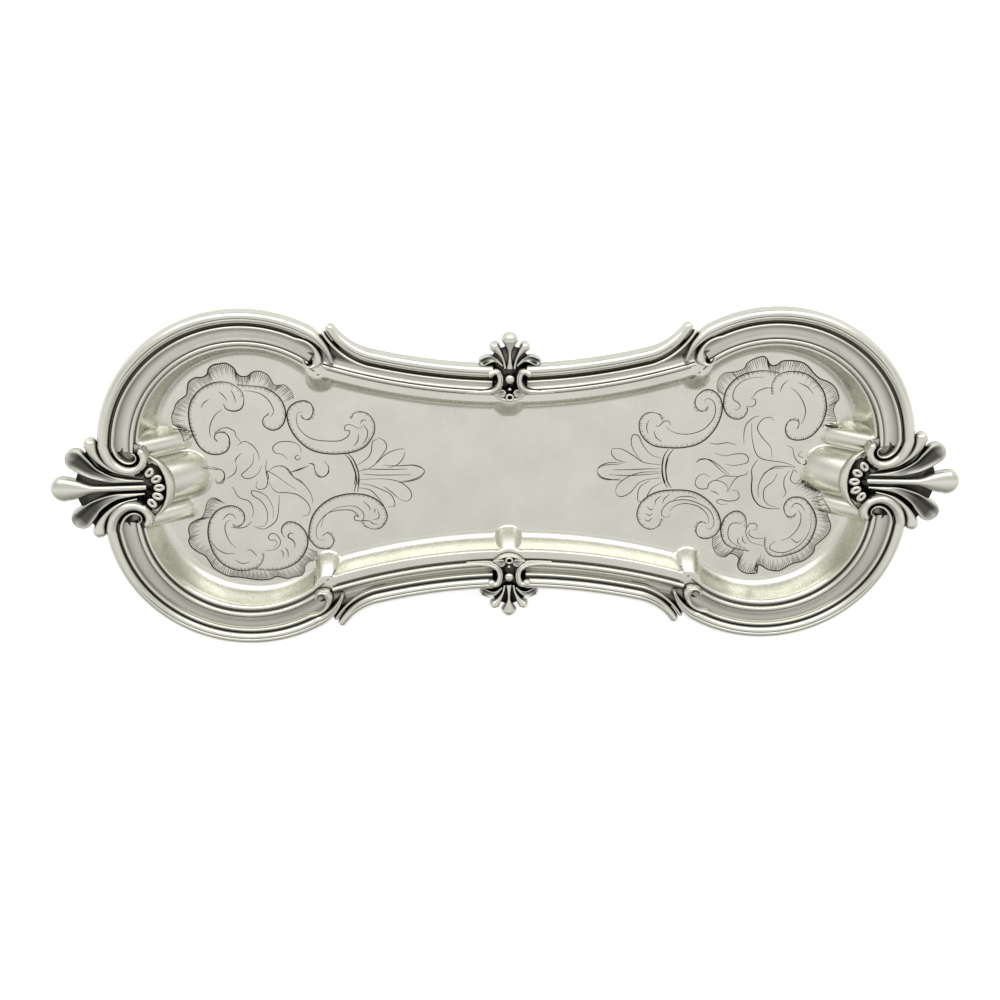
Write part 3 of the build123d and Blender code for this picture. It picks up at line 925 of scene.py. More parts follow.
@dataclass
class EndPalmette(Casting):
    """The seven-petalled mount that joins two end volutes."""

    ground_height: float = 0.6
    collar_inset: float = 8.3
    collar_radius: float = 10.5
    collar_half: float = 1.35
    collar_tip: float = 0.35
    beads_inset: float = 10.4
    beads_radius: float = 5.6
    beads_height: float = 1.55
    bead_size: Spot = (1.65, 1.25, 0.59)

    def petals(self) -> list[Strand]:
        """Gives the drop, the two spoons and the two buds."""
        plan = self.plan
        edge = plan.lobe_end, 0.0
        slant = (plan.length / 2 - plan.shoulder_x) / math.cos(math.radians(plan.rim_rise))
        tip = plan.shoulder_x + slant - plan.lobe_end
        drop = (
            (-12.4, 0, 0.9, 1.7),
            (-4, 0, 1.0, 2.0),
            (0, 0, 1.1, 2.1),
            (2.7, 0, 1.4, 2.3),
            (6.3, 0, 2.8, 2.7),
            (tip - 3.8, 0, 3.65, 2.9),
        )
        spoon = (
            (-11.8, 1.9, 0.4, 1.4),
            (-7.0, 2.2, 0.75, 1.7),
            (-3.0, 2.8, 1.05, 2.0, 0.5),
            (1.2, 4.7, 1.8, 2.4, 0.95),
            (3.8, 6.8, 2.6, 2.65, 1.0),
            (5.8, 8.7, 3.05, 2.7, 1.0),
        )
        bud = (
            (-9.6, 3.4, 0.35, 1.2),
            (-6.7, 4.1, 0.5, 1.5),
            (-3.8, 5.3, 0.65, 1.7),
            (-0.8, 7.8, 0.95, 2.0),
            (0.9, 10.4, 1.45, 2.4),
            (1.5, 12.8, 1.9, 2.6),
        )
        sides = shaped(edge, spoon, 24, rim=0.86), shaped(edge, bud, 16)
        return [shaped(edge, drop, 20), *paired(sides, (1, -1))]

    def collar(self) -> Strand:
        """Gives the smooth crescent round the neck's beads."""
        centre = (self.plan.lobe_end - self.collar_inset, 0)
        rows = []
        for turn in (2.1 * step for step in range(-28, 29)):
            share = math.cos(math.radians(turn * 1.4))
            half = max(self.collar_half * share, self.collar_tip)
            rows.append(Station(*polar(centre, 180 + turn, self.collar_radius), half, 0.9 + share))
        return Strand(tuple(rows), 14, back_blunt=True)

    def shapes(self) -> bmesh.types.BMesh:
        """Makes the right-hand palmette on a level flange."""
        edge = self.plan.lobe_end
        half = ((-19.3, 0.0), (-18.2, 4.0), (-14.4, 6.8), (-9.0, 4.9), (-2.4, 7.0), (0, 11.5))
        half += ((2.6, 11.5), (4.6, 8.0), (6.4, 3.0))
        shape = bmesh.new()
        # The ground plate is painted dark as the shade between the petals.
        add_plate(shape, [(edge + x, y) for x, y in half], (1, -1), self.ground_height)
        add_strands(shape, [*self.petals(), self.collar()])
        for turn in (180 + 27 * step for step in range(-2, 3)):
            centre = polar((edge - self.beads_inset, 0), turn, self.beads_radius)
            add_ring(shape, centre, self.beads_height, turn, self.bead_size)
        return shape


@dataclass
class SidePalmette(Casting):
    """The five-petalled mount at the middle of a long side."""

    ground_height: float = 0.5

    def lift(self) -> Matrix:
        """Gives the move on to the flange along the waist."""
        return self.plan.on_waist()

    def petals(self) -> list[Strand]:
        """Gives the drop, the two petals and the two leaves."""
        edge = 0.0, self.plan.waist_half_width
        drop = (
            (0, -1.2, 1.05, 1.6),
            (0, 0.8, 0.72, 1.8),
            (0, 3.4, 0.64, 1.9),
            (0, 5.2, 1.4, 2.3),
            (0, 6.6, 2.25, 2.7),
        )
        petal = (
            (1.3, -1.1, 0.5, 1.5),
            (1.75, 1.2, 0.5, 1.7),
            (2.9, 3.4, 0.95, 2.1),
            (4.1, 4.9, 1.5, 2.5),
        )
        leaf = (
            (2.0, -0.4, 0.4, 1.5),
            (3.7, 1.2, 0.6, 1.9, 0.3),
            (5.6, 1.6, 1.15, 2.3, 0.7),
            (7.3, 0.9, 1.25, 2.3, 0.9),
        )
        sides = (shaped(edge, rows, 18) for rows in (petal, leaf))
        return [shaped(edge, drop, 16), *paired(sides, (-1, 1))]

    def cup(self) -> list[Strand]:
        """Gives the boat inside the moulding and the two leaves that fill it."""
        edge = 0.0, self.plan.waist_half_width
        boat = (
            (-4.6, -8.3, 0.25, 1.1),
            (-2.7, -9.6, 0.55, 1.5),
            (0, -10.3, 0.7, 1.7),
            (2.7, -9.6, 0.55, 1.5),
            (4.6, -8.3, 0.25, 1.1),
        )
        leaf = ((4.5, -8.6, 0.3, 1.3), (3.4, -8.5, 0.85, 1.8, 0.3), (2.2, -8.2, 1.35, 2.2, 0.6))
        leaves = paired([shaped(edge, leaf, 16)], (-1, 1))
        return [shaped(edge, boat, 12, back_blunt=True), *leaves]

    def shapes(self) -> bmesh.types.BMesh:
        """Makes the back palmette on a level flange."""
        edge = self.plan.waist_half_width
        half = ((0.0, -10.7), (2.6, -10.0), (4.5, -8.4), (4.3, -6.9), (6.7, -5.6), (6.7, -0.4))
        half += ((6.0, 1.0), (3.6, 4.0), (1.0, 5.0))
        shape = bmesh.new()
        # The ground plate is painted dark as the shade between the petals and the hooks.
        add_plate(shape, [(x, edge + y) for x, y in half], (-1, 1), self.ground_height)
        add_strands(shape, self.petals() + self.cup())
        add_drop(shape, (0, edge - 4.0), 1.7, (1.35, 1.35, 1.2))
        add_drop(shape, (0, edge - 7.0), 1.0, (0.6, 0.6, 0.8))
        add_ring(shape, (0, edge - 9.2), 1.9, 0, (1.2, 1.1, 0.3))
        return shape


@dataclass(frozen=True)
class Flute:
    """A flute pushed up into the wall, whose crest climbs from its toe in the well.

    toe is in plan, heading and slope are in degrees, and radius is across the flute. The
    nose lifts the toe, the more the rounder it is.
    """

    toe: Point
    heading: float
    slope: float
    radius: float
    nose: float = 0.45
    nose_round: float = 2.2

    def height(self, x: float, y: float) -> float:
        """Gives how high the flute stands above the well, far below it outside."""
        turn, climb = math.radians(self.heading), math.radians(self.slope)
        run, rise = x - self.toe[0], y - self.toe[1]
        along = run * math.cos(turn) + rise * math.sin(turn)
        aside = -run * math.sin(turn) + rise * math.cos(turn)
        if abs(aside) >= self.radius:
            return OUTSIDE
        fall = self.radius - math.sqrt(self.radius**2 - aside**2)
        blunt = 1 - math.exp(-max(along, 0.0) / self.radius * self.nose_round)
        nose = self.nose * (self.radius * blunt)
        return along * math.tan(climb) + nose - fall / math.cos(climb)


@dataclass
class Dish:
    """The raised sheet: its level well, concave wall, flutes and flange.

    Depths are taken from the moulding's outside inwards. lobe_line and waist_line are the
    depths of the thin line of painted shade beside the mounts' foot, and soft is how much a
    flute's edge is eased.
    """

    plan: TrayPlan
    finish: bpy.types.Material
    wall_in: float = 11.0
    wall_run: float = 4.4
    wall_rise: float = 11.0
    trim: float = 0.8
    lobe_line: float = 10.3
    waist_line: float = 8.9
    line_half: float = 0.1
    row_gap: float = 0.35
    fold: float = 0.05
    core: float = 29.4
    soft: float = 0.35

    @cached_property
    def flutes(self) -> list[Flute]:
        """Gives the flutes of one quarter, whose mirror copies fill the rest."""
        well = self.plan.lobe_end - self.wall_in - self.wall_run
        return [
            Flute((well - 13.3, 0.0), 0, 36, 7.2),
            Flute((well - 8.3, 10.5), 0, 38, 3.2),
            Flute((52.8, 24.3), 90, 45, 3.8),
            Flute((0.0, 16.8), 90, 45, 4.2),
        ]

    def outline(self, depth: float) -> list[Point]:
        """Gives one quarter of the outline at a depth inside the moulding's outside."""
        plan = self.plan
        lobe, waist = plan.lobe_radius - depth, plan.waist_radius + depth
        lean, span = seen_from(plan.lobe_centre, plan.waist_centre)
        cosine = (span**2 + lobe**2 - waist**2) / (2 * span * lobe)
        stop = lean + math.degrees(math.acos(max(min(cosine, 1.0), -1.0)))
        begin = seen_from(plan.waist_centre, polar(plan.lobe_centre, stop, lobe))[0]
        points = [(plan.lobe_x + lobe, plan.lobe_spread * step / 24) for step in range(24)]
        points += [polar(plan.lobe_centre, stop * step / 120, lobe) for step in range(120)]
        turns = (mix(begin, -90, step / 100) for step in range(100))
        return points + [polar(plan.waist_centre, turn, waist) for turn in turns]

    def height(self, x: float, y: float, depth: float) -> float:
        """Gives the height of the sheet's top."""
        sheet, rim = self.plan.sheet, self.plan.rim(x)
        rise = min(max((self.wall_in + self.wall_run - depth) / self.wall_run, 0.0), 1.0)
        wall = sheet + self.wall_rise * (1 - math.sqrt(1 - rise * rise))
        for flute in self.flutes:
            pushed = sheet + flute.height(abs(x), abs(y))
            blend = math.sqrt((wall - pushed) ** 2 + self.soft**2) - self.soft
            wall = max((wall + pushed + blend) / 2, wall if pushed < FAR_BELOW else sheet)
        return rim if depth < self.wall_in else min(wall, rim)

    def depth_at(self, x: float, y: float) -> float:
        """Gives how far a place lies inside the moulding's outside."""
        plan = self.plan
        run, rise = abs(x) - plan.lobe_x, abs(y) - plan.lobe_spread
        depth = plan.lobe_radius - (math.hypot(run, rise) if rise > 0 else max(run, 0.0))
        if abs(x) < plan.shoulder_x:
            reach = seen_from(plan.waist_centre, (x, abs(y)))[1]
            depth = max(depth, reach - plan.waist_radius)
        return depth

    def surface(self, x: float, y: float) -> float:
        """Gives the height of the sheet's top at a place in plan."""
        return self.height(x, y, self.depth_at(x, y))

    def depths(self) -> list[float]:
        """Gives the depths of the sheet's rows of points, from its edge inwards."""
        gap, top = self.row_gap, self.wall_in + self.fold
        steps = [spot + gap * i for spot in (self.lobe_line, self.waist_line) for i in (-1, 0, 1)]
        rows = [self.trim, 3.0, 7.0, *sorted(steps), self.wall_in - self.fold, top]
        rows += [top + gap * step for step in range(1, 16)]
        return rows + [mix(rows[-1], self.core, step / 24) for step in range(1, 25)]

    def rings(self) -> list[Ring]:
        """Gives the sheet's points, as a row across it at each place round the tray."""
        depths = self.depths()
        lines = [
            self.outline(depth) + [(0.0, self.plan.waist_half_width - depth)] for depth in depths
        ]
        last = len(lines[0]) - 1
        made = []
        for quarter, ways in enumerate(((1, 1), (-1, 1), (-1, -1), (1, -1))):
            for step in range(last):
                spot = last - step if quarter % 2 else step
                ring = []
                for depth, line in zip(depths, lines):
                    x, y = line[spot]
                    ring.append((ways[0] * x, ways[1] * y, self.height(x, y, depth)))
                made.append(ring)
        return made + made[:1]

    def build(self) -> None:
        """Makes the dish, with the sheet's thickness below its top."""
        shape = bmesh.new()
        shade_key = shade_and_patina_layer(shape)
        skin(shape, self.rings(), closed=True)
        inner = [edge for edge in shape.edges if edge.is_boundary and edge.verts[0].co.z < 2]
        bmesh.ops.contextual_create(shape, geom=inner)
        bmesh.ops.recalc_face_normals(shape, faces=shape.faces)
        if sum(face.normal.z * face.calc_area() for face in shape.faces) < 0:
            bmesh.ops.reverse_faces(shape, faces=shape.faces)
        for vert in shape.verts:
            # Paints a thin line of shade where the sheet meets the foot of the mounts.
            x, y = vert.co.xy
            line = self.lobe_line if abs(x) > self.plan.shoulder_x else self.waist_line
            vert[shade_key] = float(abs(self.depth_at(x, y) - line) < self.line_half)
        for face in shape.faces:
            face.smooth = True
        bmesh.ops.scale(shape, vec=(MM, MM, MM), verts=shape.verts)
        piece = add_piece("dish", shape, self.finish)
        wall = piece.modifiers.new("sheet", "SOLIDIFY")
        wall.thickness = self.plan.sheet * MM
        wall.offset = -1
        declare(piece, "tray_dish")


@dataclass(frozen=True)
class Chasing:
    """The engraved lines of one half of an end, as runs of x and y in millimetres.

    bold lines swell along scrolls, fine ones vein them, and the edge of the shell has
    hatching inside it.
    """

    bold: tuple[Run, ...]
    fine: tuple[Run, ...]
    edge: Run


LEFT_BACK_CHASING = Chasing(
    bold=(
        (44.5, 16, 43.5, 17.75, 41.5, 18.1, 39.5, 17.25, 38.1, 15, 38, 12.5, 38.75, 10.5, 40.5, 8,
         43, 6.5, 46, 5.75, 50, 5.5, 54, 6, 57, 7.25, 59.5, 9.5, 61.5, 12.5, 62.5, 16, 62.25, 18.5,
         61, 20.25, 59, 21.25, 57, 21.35, 55.5, 20.25, 55.15, 18.5, 55.75, 16.75, 57, 15.9, 58.25,
         16.25, 58.6, 17.25),
        (67.5, 17.5, 69.25, 16.25, 69.25, 14.25, 67.5, 12.9, 65.5, 13, 63.75, 14.5, 62.9, 17, 63.1,
         19.75, 64.25, 22.25, 66, 24, 68.5, 25.4, 72, 25.9, 76, 26.25),
        (74.25, 22.5, 74.75, 24.25, 76.5, 26, 79, 27, 82, 26.9, 85, 25.75, 87.5, 23.75, 89.25, 21,
         90, 18, 89.9, 14.5, 89.25, 11.5, 88, 8.5, 86.5, 6.75, 84.5, 5.75, 82, 5.75, 80, 6.75,
         79.1, 8.75, 79.25, 11, 80.5, 12.15, 82.5, 12, 83.4, 10.5, 82.5, 9.5),
        (74.25, 22.5, 74.5, 20.5, 75.5, 19, 77.5, 18.5, 79.5, 19.25, 80, 20.75),
        (46, 5.75, 44.5, 4, 43.5, 1.5, 43, -1, 43.5, -4),
        (46.8, 5.6, 45.4, 3.8, 44.4, 1.4, 43.9, -1, 44.4, -4),
    ),
    fine=(
        (58, 18.1, 59.25, 18, 59.85, 16.75, 59.85, 14.75, 59, 12.75, 57, 10.75, 54.5, 9.75, 51,
         9.4, 48, 9.5, 46, 10.5, 45.15, 11.75, 45.25, 12.5, 46.25, 12.5, 46.5, 13.5, 45.75, 14.25,
         44.25, 14.1, 43.25, 13.4, 42, 13.25, 41.5, 13.75),
        (41.25, 14.25, 40.1, 12.5, 40.25, 10.5, 41.5, 8.5),
        (42.5, 11.5, 43, 9.25, 44.2, 7.8),
        (40.25, 15.5, 41.5, 15.5, 41.9, 14.5),
        (67.25, 16.75, 66.25, 18, 66.4, 19.5, 67.5, 21.75, 69.5, 23.5, 72, 24.25, 74, 24.5),
        (80.5, 19, 82.5, 17.5, 84, 15, 84.5, 12.5, 84.25, 10.75),
        (76.6, 21, 77, 23, 77.8, 24.8),
        (79, 21.5, 80, 23.2, 81.2, 24.2),
        (84, 22, 85.5, 21, 86.4, 19.6),
        (75.75, 9, 77.25, 11.25, 77.5, 12.5, 79.5, 13.6, 81.5, 13.25, 83.1, 12),
        (76, 6, 77.5, 4.5, 78, 3),
        (77.5, 2.5, 78.25, 0, 80.75, -1.75),
        (87, 2.5, 84.5, 1.25, 82, 1, 81.25, -1, 82.5, -2.75, 83.75, -2.5, 83.75, -1.5),
        (71, 4, 71.5, 6.5, 73, 8.5, 75, 9.5, 77, 8.25),
        (72.5, 6, 73, 3, 75, 0.75, 76.4, -0.5, 75.5, -1.6, 73.5, -1.5, 71.5, 0, 70.5, 2),
        (59, 6, 59.5, 8, 61.5, 9.25, 65, 9.25, 67, 7.75, 66.5, 6, 64.5, 5.5, 63, 4),
        (59.2, 4.6, 60, 3.8, 60.9, 4.3, 60.5, 5.1, 59.6, 5),
        (55.5, 1.25, 55.75, 2.5, 57.25, 2.75),
        (57.25, 2, 60, 0.75, 63, 0),
        (52.75, 3.5, 51.5, 1.5, 52, -0.5, 53.5, -1.5, 55, -1, 55.6, 0),
        (59, -3.5, 62, -1, 63.5, 1.25, 65, 2, 67, 1.75, 69.25, 0),
        (69, 4, 69.4, 1, 68.75, -1, 69.25, -3.5),
        (37.25, 10, 38.75, 9, 39.25, 6, 40.5, 4, 43.5, 2),
        (37.25, 10.25, 35.5, 9.5, 34.75, 7.5, 36, 5.25, 38.5, 2),
        (29.6, 6.75, 30.75, 6.9, 33.25, 6.25, 35.5, 5, 37.5, 3, 40, 1, 43, 0.25),
        (29.6, 6, 30.25, 4, 32, 2, 34.5, 1.25),
        (24, -0.15, 25, 1.25, 27.5, 2, 31, 1.75, 36, 2),
        (24, -0.15, 25.5, -2, 28.5, -3, 31.5, -3.4),
        (29, 0.75, 33, 0.7, 37, 0.75, 42, 0.9),
        (28, -1, 33, -1, 38, -1, 42, -0.6),
    ),
    edge=(60.4, 22, 60.75, 23.75, 62.5, 26, 65.25, 26, 66.25, 27.25, 67.25, 29, 69.5, 30.1, 71.5,
          29.75, 72.75, 28.75, 74.5, 28.6, 75.75, 29.5, 76.5, 31, 78.5, 32.4, 80.5, 32.25, 82.25,
          31.9, 83.5, 30.75, 84, 29.25, 85.5, 28.4, 87.5, 28.25, 89.25, 27, 89.75, 25.25, 90.25,
          23.25, 92, 22, 93.25, 20.75, 93.75, 19.5, 94.75, 17, 94.5, 14.75, 93.25, 13.75, 92, 12.5,
          91.5, 10.5),
)

LEFT_FRONT_CHASING = Chasing(
    bold=(
        (40.1, 15.25, 42.2, 15, 41.5, 16.75, 39.25, 17.75, 37, 17.25, 35.4, 15, 35.25, 13, 36.25,
         10.5, 38.5, 8.25, 41.5, 7, 45, 6.65, 48, 7, 51, 8, 54, 10, 56.5, 13, 57.75, 16.5, 58.15,
         20, 57.5, 21.5, 56, 23.25, 54, 23.85, 52.5, 23.75, 51.5, 22.75, 51, 21.25, 51.75, 19.5,
         53, 18.85, 54.25, 19.75),
        (65.25, 20, 66, 18.5, 65.75, 16.75, 64.5, 15.5, 63, 15.2, 61, 16, 59.25, 18, 58.5, 20.5,
         58.75, 23, 60, 25.75, 62, 28, 64.5, 29.5, 67.5, 30.35, 71, 30.5, 74.5, 30.1),
        (71.5, 25, 71.75, 27, 73, 29, 75.5, 30.25, 78.5, 30.6, 81.5, 29.75, 84, 28, 86, 25, 87,
         21.5, 87.25, 18.5, 86.75, 15.5, 85.5, 13, 83.75, 11.25, 81.5, 10.25, 79.5, 10.1, 77.5, 11,
         76.4, 12.75, 76.5, 14.75, 77.5, 16, 79, 16.4, 79.9, 15.75),
        (62.5, 23.5, 62.3, 22.1, 63, 20.9, 64, 20.2, 64.15, 19.5, 63.5, 18.75, 62.5, 18.85),
        (43.5, 6, 43, 3, 43.1, 0, 44, -3),
        (44.5, 6, 43.75, 3, 43.9, 0, 45, -3.5),
    ),
    fine=(
        (53.5, 20.75, 54.5, 21.1, 55.6, 20.6, 56, 19, 55.75, 17, 54.5, 14.75, 52.5, 12.75, 50,
         11.85, 47, 11.65, 45, 12, 43.5, 13.75, 44.5, 13.5, 44.65, 14.75, 43.5, 15.1, 42.5, 15,
         41.9, 13.75, 42.5, 12, 44.5, 10.6, 48, 10.6, 51, 11.6, 53.5, 14, 54.5, 17),
        (39, 12.75, 38.7, 11.9, 38.7, 11.25),
        (39.25, 14.75, 38, 14.5, 37.5, 13.5, 38, 11.5),
        (40, 12, 40.5, 10.5, 42, 9),
        (38, 16.25, 39.5, 16, 40.1, 15),
        (64.5, 26.5, 64.5, 24.5, 65.25, 23.25),
        (66, 26.5, 65.9, 25, 66.5, 24),
        (71, 24.1, 70, 24.25, 68, 23.75, 66.75, 22.5, 66.5, 21, 67.25, 19.5, 68.5, 18.75, 69.5,
         19.25, 69.9, 20.25, 69.25, 20.9, 68.25, 20.9, 67.6, 21.6, 67.75, 22.5, 68.75, 23.5),
        (79.5, 23.25, 81, 21.5, 82, 19, 82.25, 17, 81.75, 15.25, 80.5, 14.4),
        (79, 14.25, 79.5, 13, 80.75, 12.6, 82, 13.5, 82.75, 14.5),
        (74.5, 15, 76, 16.5, 78, 17, 80.5, 16.75),
        (75.75, 27.75, 78, 28.25, 80, 27),
        (80, 25, 82.5, 25, 85, 23.5, 86.5, 21),
        (73.5, 26, 74.25, 25, 75.25, 24, 76.5, 24),
        (74.15, 13.5, 73.75, 12, 74, 10, 75, 8.5, 76.5, 8, 78, 7, 78.75, 5, 79.5, 4.25),
        (84, 2.75, 83.25, 3.25, 82, 3, 81.25, 1.5, 81.5, -0.5, 83.5, -1.5, 86.5, -2.5),
        (73.9, 16.4, 72, 17.35, 70, 17, 67.5, 15, 66.75, 13, 66.25, 9.5, 66, 7),
        (73, 16.75, 70.75, 16.25, 69.75, 14, 70, 11, 71.5, 8.5, 73.5, 7, 74, 5.75, 73, 5.5, 71,
         6.25, 69.25, 7.75, 68, 11, 68.25, 14),
        (59.75, 13.5, 58, 13, 57.4, 11, 58.5, 8.75, 61, 6.75, 64, 6.15, 66.5, 6, 68, 4.5, 68.75,
         3),
        (56.5, 9.5, 57, 6.5, 59.5, 2.75, 61.5, 1.5, 63, -1, 65, -2.25),
        (61.25, 5, 63.5, 3.5, 66.5, 1, 69.25, -0.5, 69, 2, 69.25, 3.5, 70, 4.75, 71.75, 5, 72.5, 4,
         72, 2.5),
        (51.5, -2, 51.5, 0, 53, 1.4, 54.5, 1, 55.4, -0.5, 55.75, -2.25, 57.25, -2.75),
        (57, -2, 60, -1, 62.5, -0.1),
        (35, 10.75, 33.25, 10.75, 32.9, 9.5, 34, 7, 36.5, 5.5, 40, 4, 42.5, 3.65),
        (36, 10.5, 38, 7.5, 40, 5.5, 43, 4.85),
        (31.5, 8.5, 29.5, 9.15, 28.1, 8, 28.25, 6, 30, 4, 32.5, 2.75, 36.5, 2.15, 42.75, 2.35),
        (31.5, 8.5, 34, 6, 36, 4.5),
        (24, 0, 25.5, 1.5, 28, 2.6, 31.5, 3.1),
        (24, 0, 24.75, -1, 27.5, -1.9, 32.5, -1.75),
    ),
    edge=(56, 24.5, 56.1, 26, 57, 27.5, 58.5, 27.9, 59.75, 29.25, 60, 31, 61, 32.2, 63, 32.6, 65,
          33.2, 67, 32.75, 68.5, 32.6, 70, 33.3, 73, 33.6, 76, 33.2, 79, 32.6, 82, 32.3, 84.5, 31,
          86.5, 29.5, 87.25, 28, 88.5, 25.75, 90.5, 24.5, 92.25, 23, 93, 21, 92.5, 19.5, 92.75,
          17.5, 92, 15.5, 90, 14.25, 88.5, 13.5, 87.5, 11.5, 87.25, 10.25, 86.5, 8.5, 85, 7.5,
          83.5, 8),
)

RIGHT_BACK_CHASING = Chasing(
    bold=(
        (43.75, 14.75, 43, 16.5, 41, 17.25, 39, 17, 37.5, 15.25, 37.25, 13, 38, 10.5, 40, 8.25,
         42.5, 7, 46, 6.6, 50, 6.6, 54, 7.5, 57, 9.5, 59.5, 13, 60.75, 17, 60.6, 20, 59.5, 22.25,
         57.75, 23.65, 55.75, 23.85, 54, 22.75, 53, 21, 53.25, 19, 54.5, 17.75, 56.25, 17.75,
         56.75, 19),
        (68, 18.5, 68, 17, 66.75, 15.4, 64.75, 15.1, 62.5, 16.25, 61.25, 18.5, 61.1, 21.25, 61.75,
         24, 63.5, 26.5, 66, 28.25, 69, 29.1, 72.5, 29.4, 76.5, 28.75),
        (74.75, 22.25, 74.5, 25, 75.5, 27.5, 77.5, 28.75, 80, 29.15, 83, 28.75, 85.5, 27.5, 87.5,
         25.75, 89.25, 23.5, 90.25, 21, 90.75, 18, 90.25, 15, 89.25, 12.5, 87.5, 10.25, 85.5, 9,
         83, 8.6, 80.75, 9.25, 79.5, 11, 79.5, 13.25, 80.75, 14.65, 82.75, 14.4, 83.25, 13, 82.75,
         12),
        (46, 6.25, 44.75, 4, 44.35, 1, 44.75, -2, 45.5, -4),
        (47.5, 6.25, 46, 4, 45.4, 1, 45.75, -2, 46.25, -4),
    ),
    fine=(
        (55.75, 20.25, 56, 21.1, 57.25, 21.1, 58.5, 19.75, 58.9, 17.5, 58.25, 15, 56.25, 12.5, 54,
         11.25, 51, 10.65, 48, 11, 46, 12, 45, 13),
        (46.25, 13.25, 45.75, 14.5, 44.5, 14.65, 43.75, 14, 42.75, 13.1, 42, 13.4),
        (40, 15, 39.4, 13, 39.9, 10.9),
        (41.6, 11.8, 42.2, 9.8, 44, 8.4),
        (64.25, 18.1, 65.25, 18, 65.9, 19, 65.25, 20, 64, 20.75, 63.6, 22.25, 64.25, 24.5, 66,
         26.25, 68.5, 27.25, 72, 27.5),
        (67.75, 19, 69.25, 18.75, 70.25, 19.75, 70, 20.9, 68.75, 21.25),
        (69.25, 21.5, 70.5, 23.25, 73, 24.25, 74.5, 24.25),
        (80, 24.25, 82, 22.75, 83.75, 20.25, 84.75, 17.5, 84.5, 15, 83.75, 13.5),
        (77, 23, 77.6, 25, 79, 26.6),
        (82, 25.8, 84.6, 24.6, 86.6, 22.4),
        (80.25, 7, 81.75, 6.25, 82.5, 4, 83.5, 2.25, 85, 1.25, 85.9, 2, 85.25, 3.1, 83.75, 4, 84.5,
         5.25),
        (75.75, 14.5, 75, 15.5, 73, 15.25, 71.5, 13.5, 71.5, 11.5, 73.5, 8.75, 75.5, 6.5, 76.1,
         3.5),
        (71.75, 16, 70, 15.5, 68, 13.5, 67.5, 10.5, 67.75, 7.5),
        (69.5, 14, 70, 9, 71.5, 4.5, 74, 2.75, 80, 1.75, 83.25, 0.25),
        (54.25, 2, 55, 3, 57, 3.1, 59, 2, 61, 0, 63.25, -1.9),
        (59.5, 4.75, 62.5, 4, 65, 4.5, 68, 4.5, 69.25, 3.25, 68.75, 1.75, 65, 1, 62.75, 1.5),
        (57.5, 8, 60, 7.6, 63, 8, 65.5, 7.2),
        (38.5, 2.5, 36.5, 5, 35.2, 7.8, 35.5, 10.5, 37.2, 10.2, 38.6, 7.4, 41, 4.6, 44, 3.4),
        (29.75, 6.5, 29.6, 5, 31, 3.2, 34, 2.2),
        (29.75, 6.5, 32.5, 6.3, 35.8, 4.4, 39, 2.2, 44, 1.4),
        (25.5, -0.5, 26.4, 1.2, 29, 2.2, 33, 2),
        (25.5, -0.5, 27, -2.2, 30, -3, 33, -3.2),
        (30, 0, 35, 0, 40, 0.2, 43.6, 0.2),
        (29, -1.5, 34, -1.8, 39, -1.6, 43.6, -1.2),
    ),
    edge=(59.5, 23, 58.9, 25, 59.5, 27.5, 61.25, 28.85, 64, 29.1, 66.25, 30, 67.25, 31.75, 69.5,
          33, 72, 33.4, 73.75, 31, 75.5, 31, 77, 32.1, 79.5, 32.25, 82.5, 31.75, 84.5, 30.5, 86,
          28.75, 88, 27, 90.5, 26, 92.5, 24.5, 93.75, 22.25, 94, 20.75, 93.25, 19.5, 92.75, 17.5,
          93.5, 15.5, 94, 13.5, 92, 12.75),
)

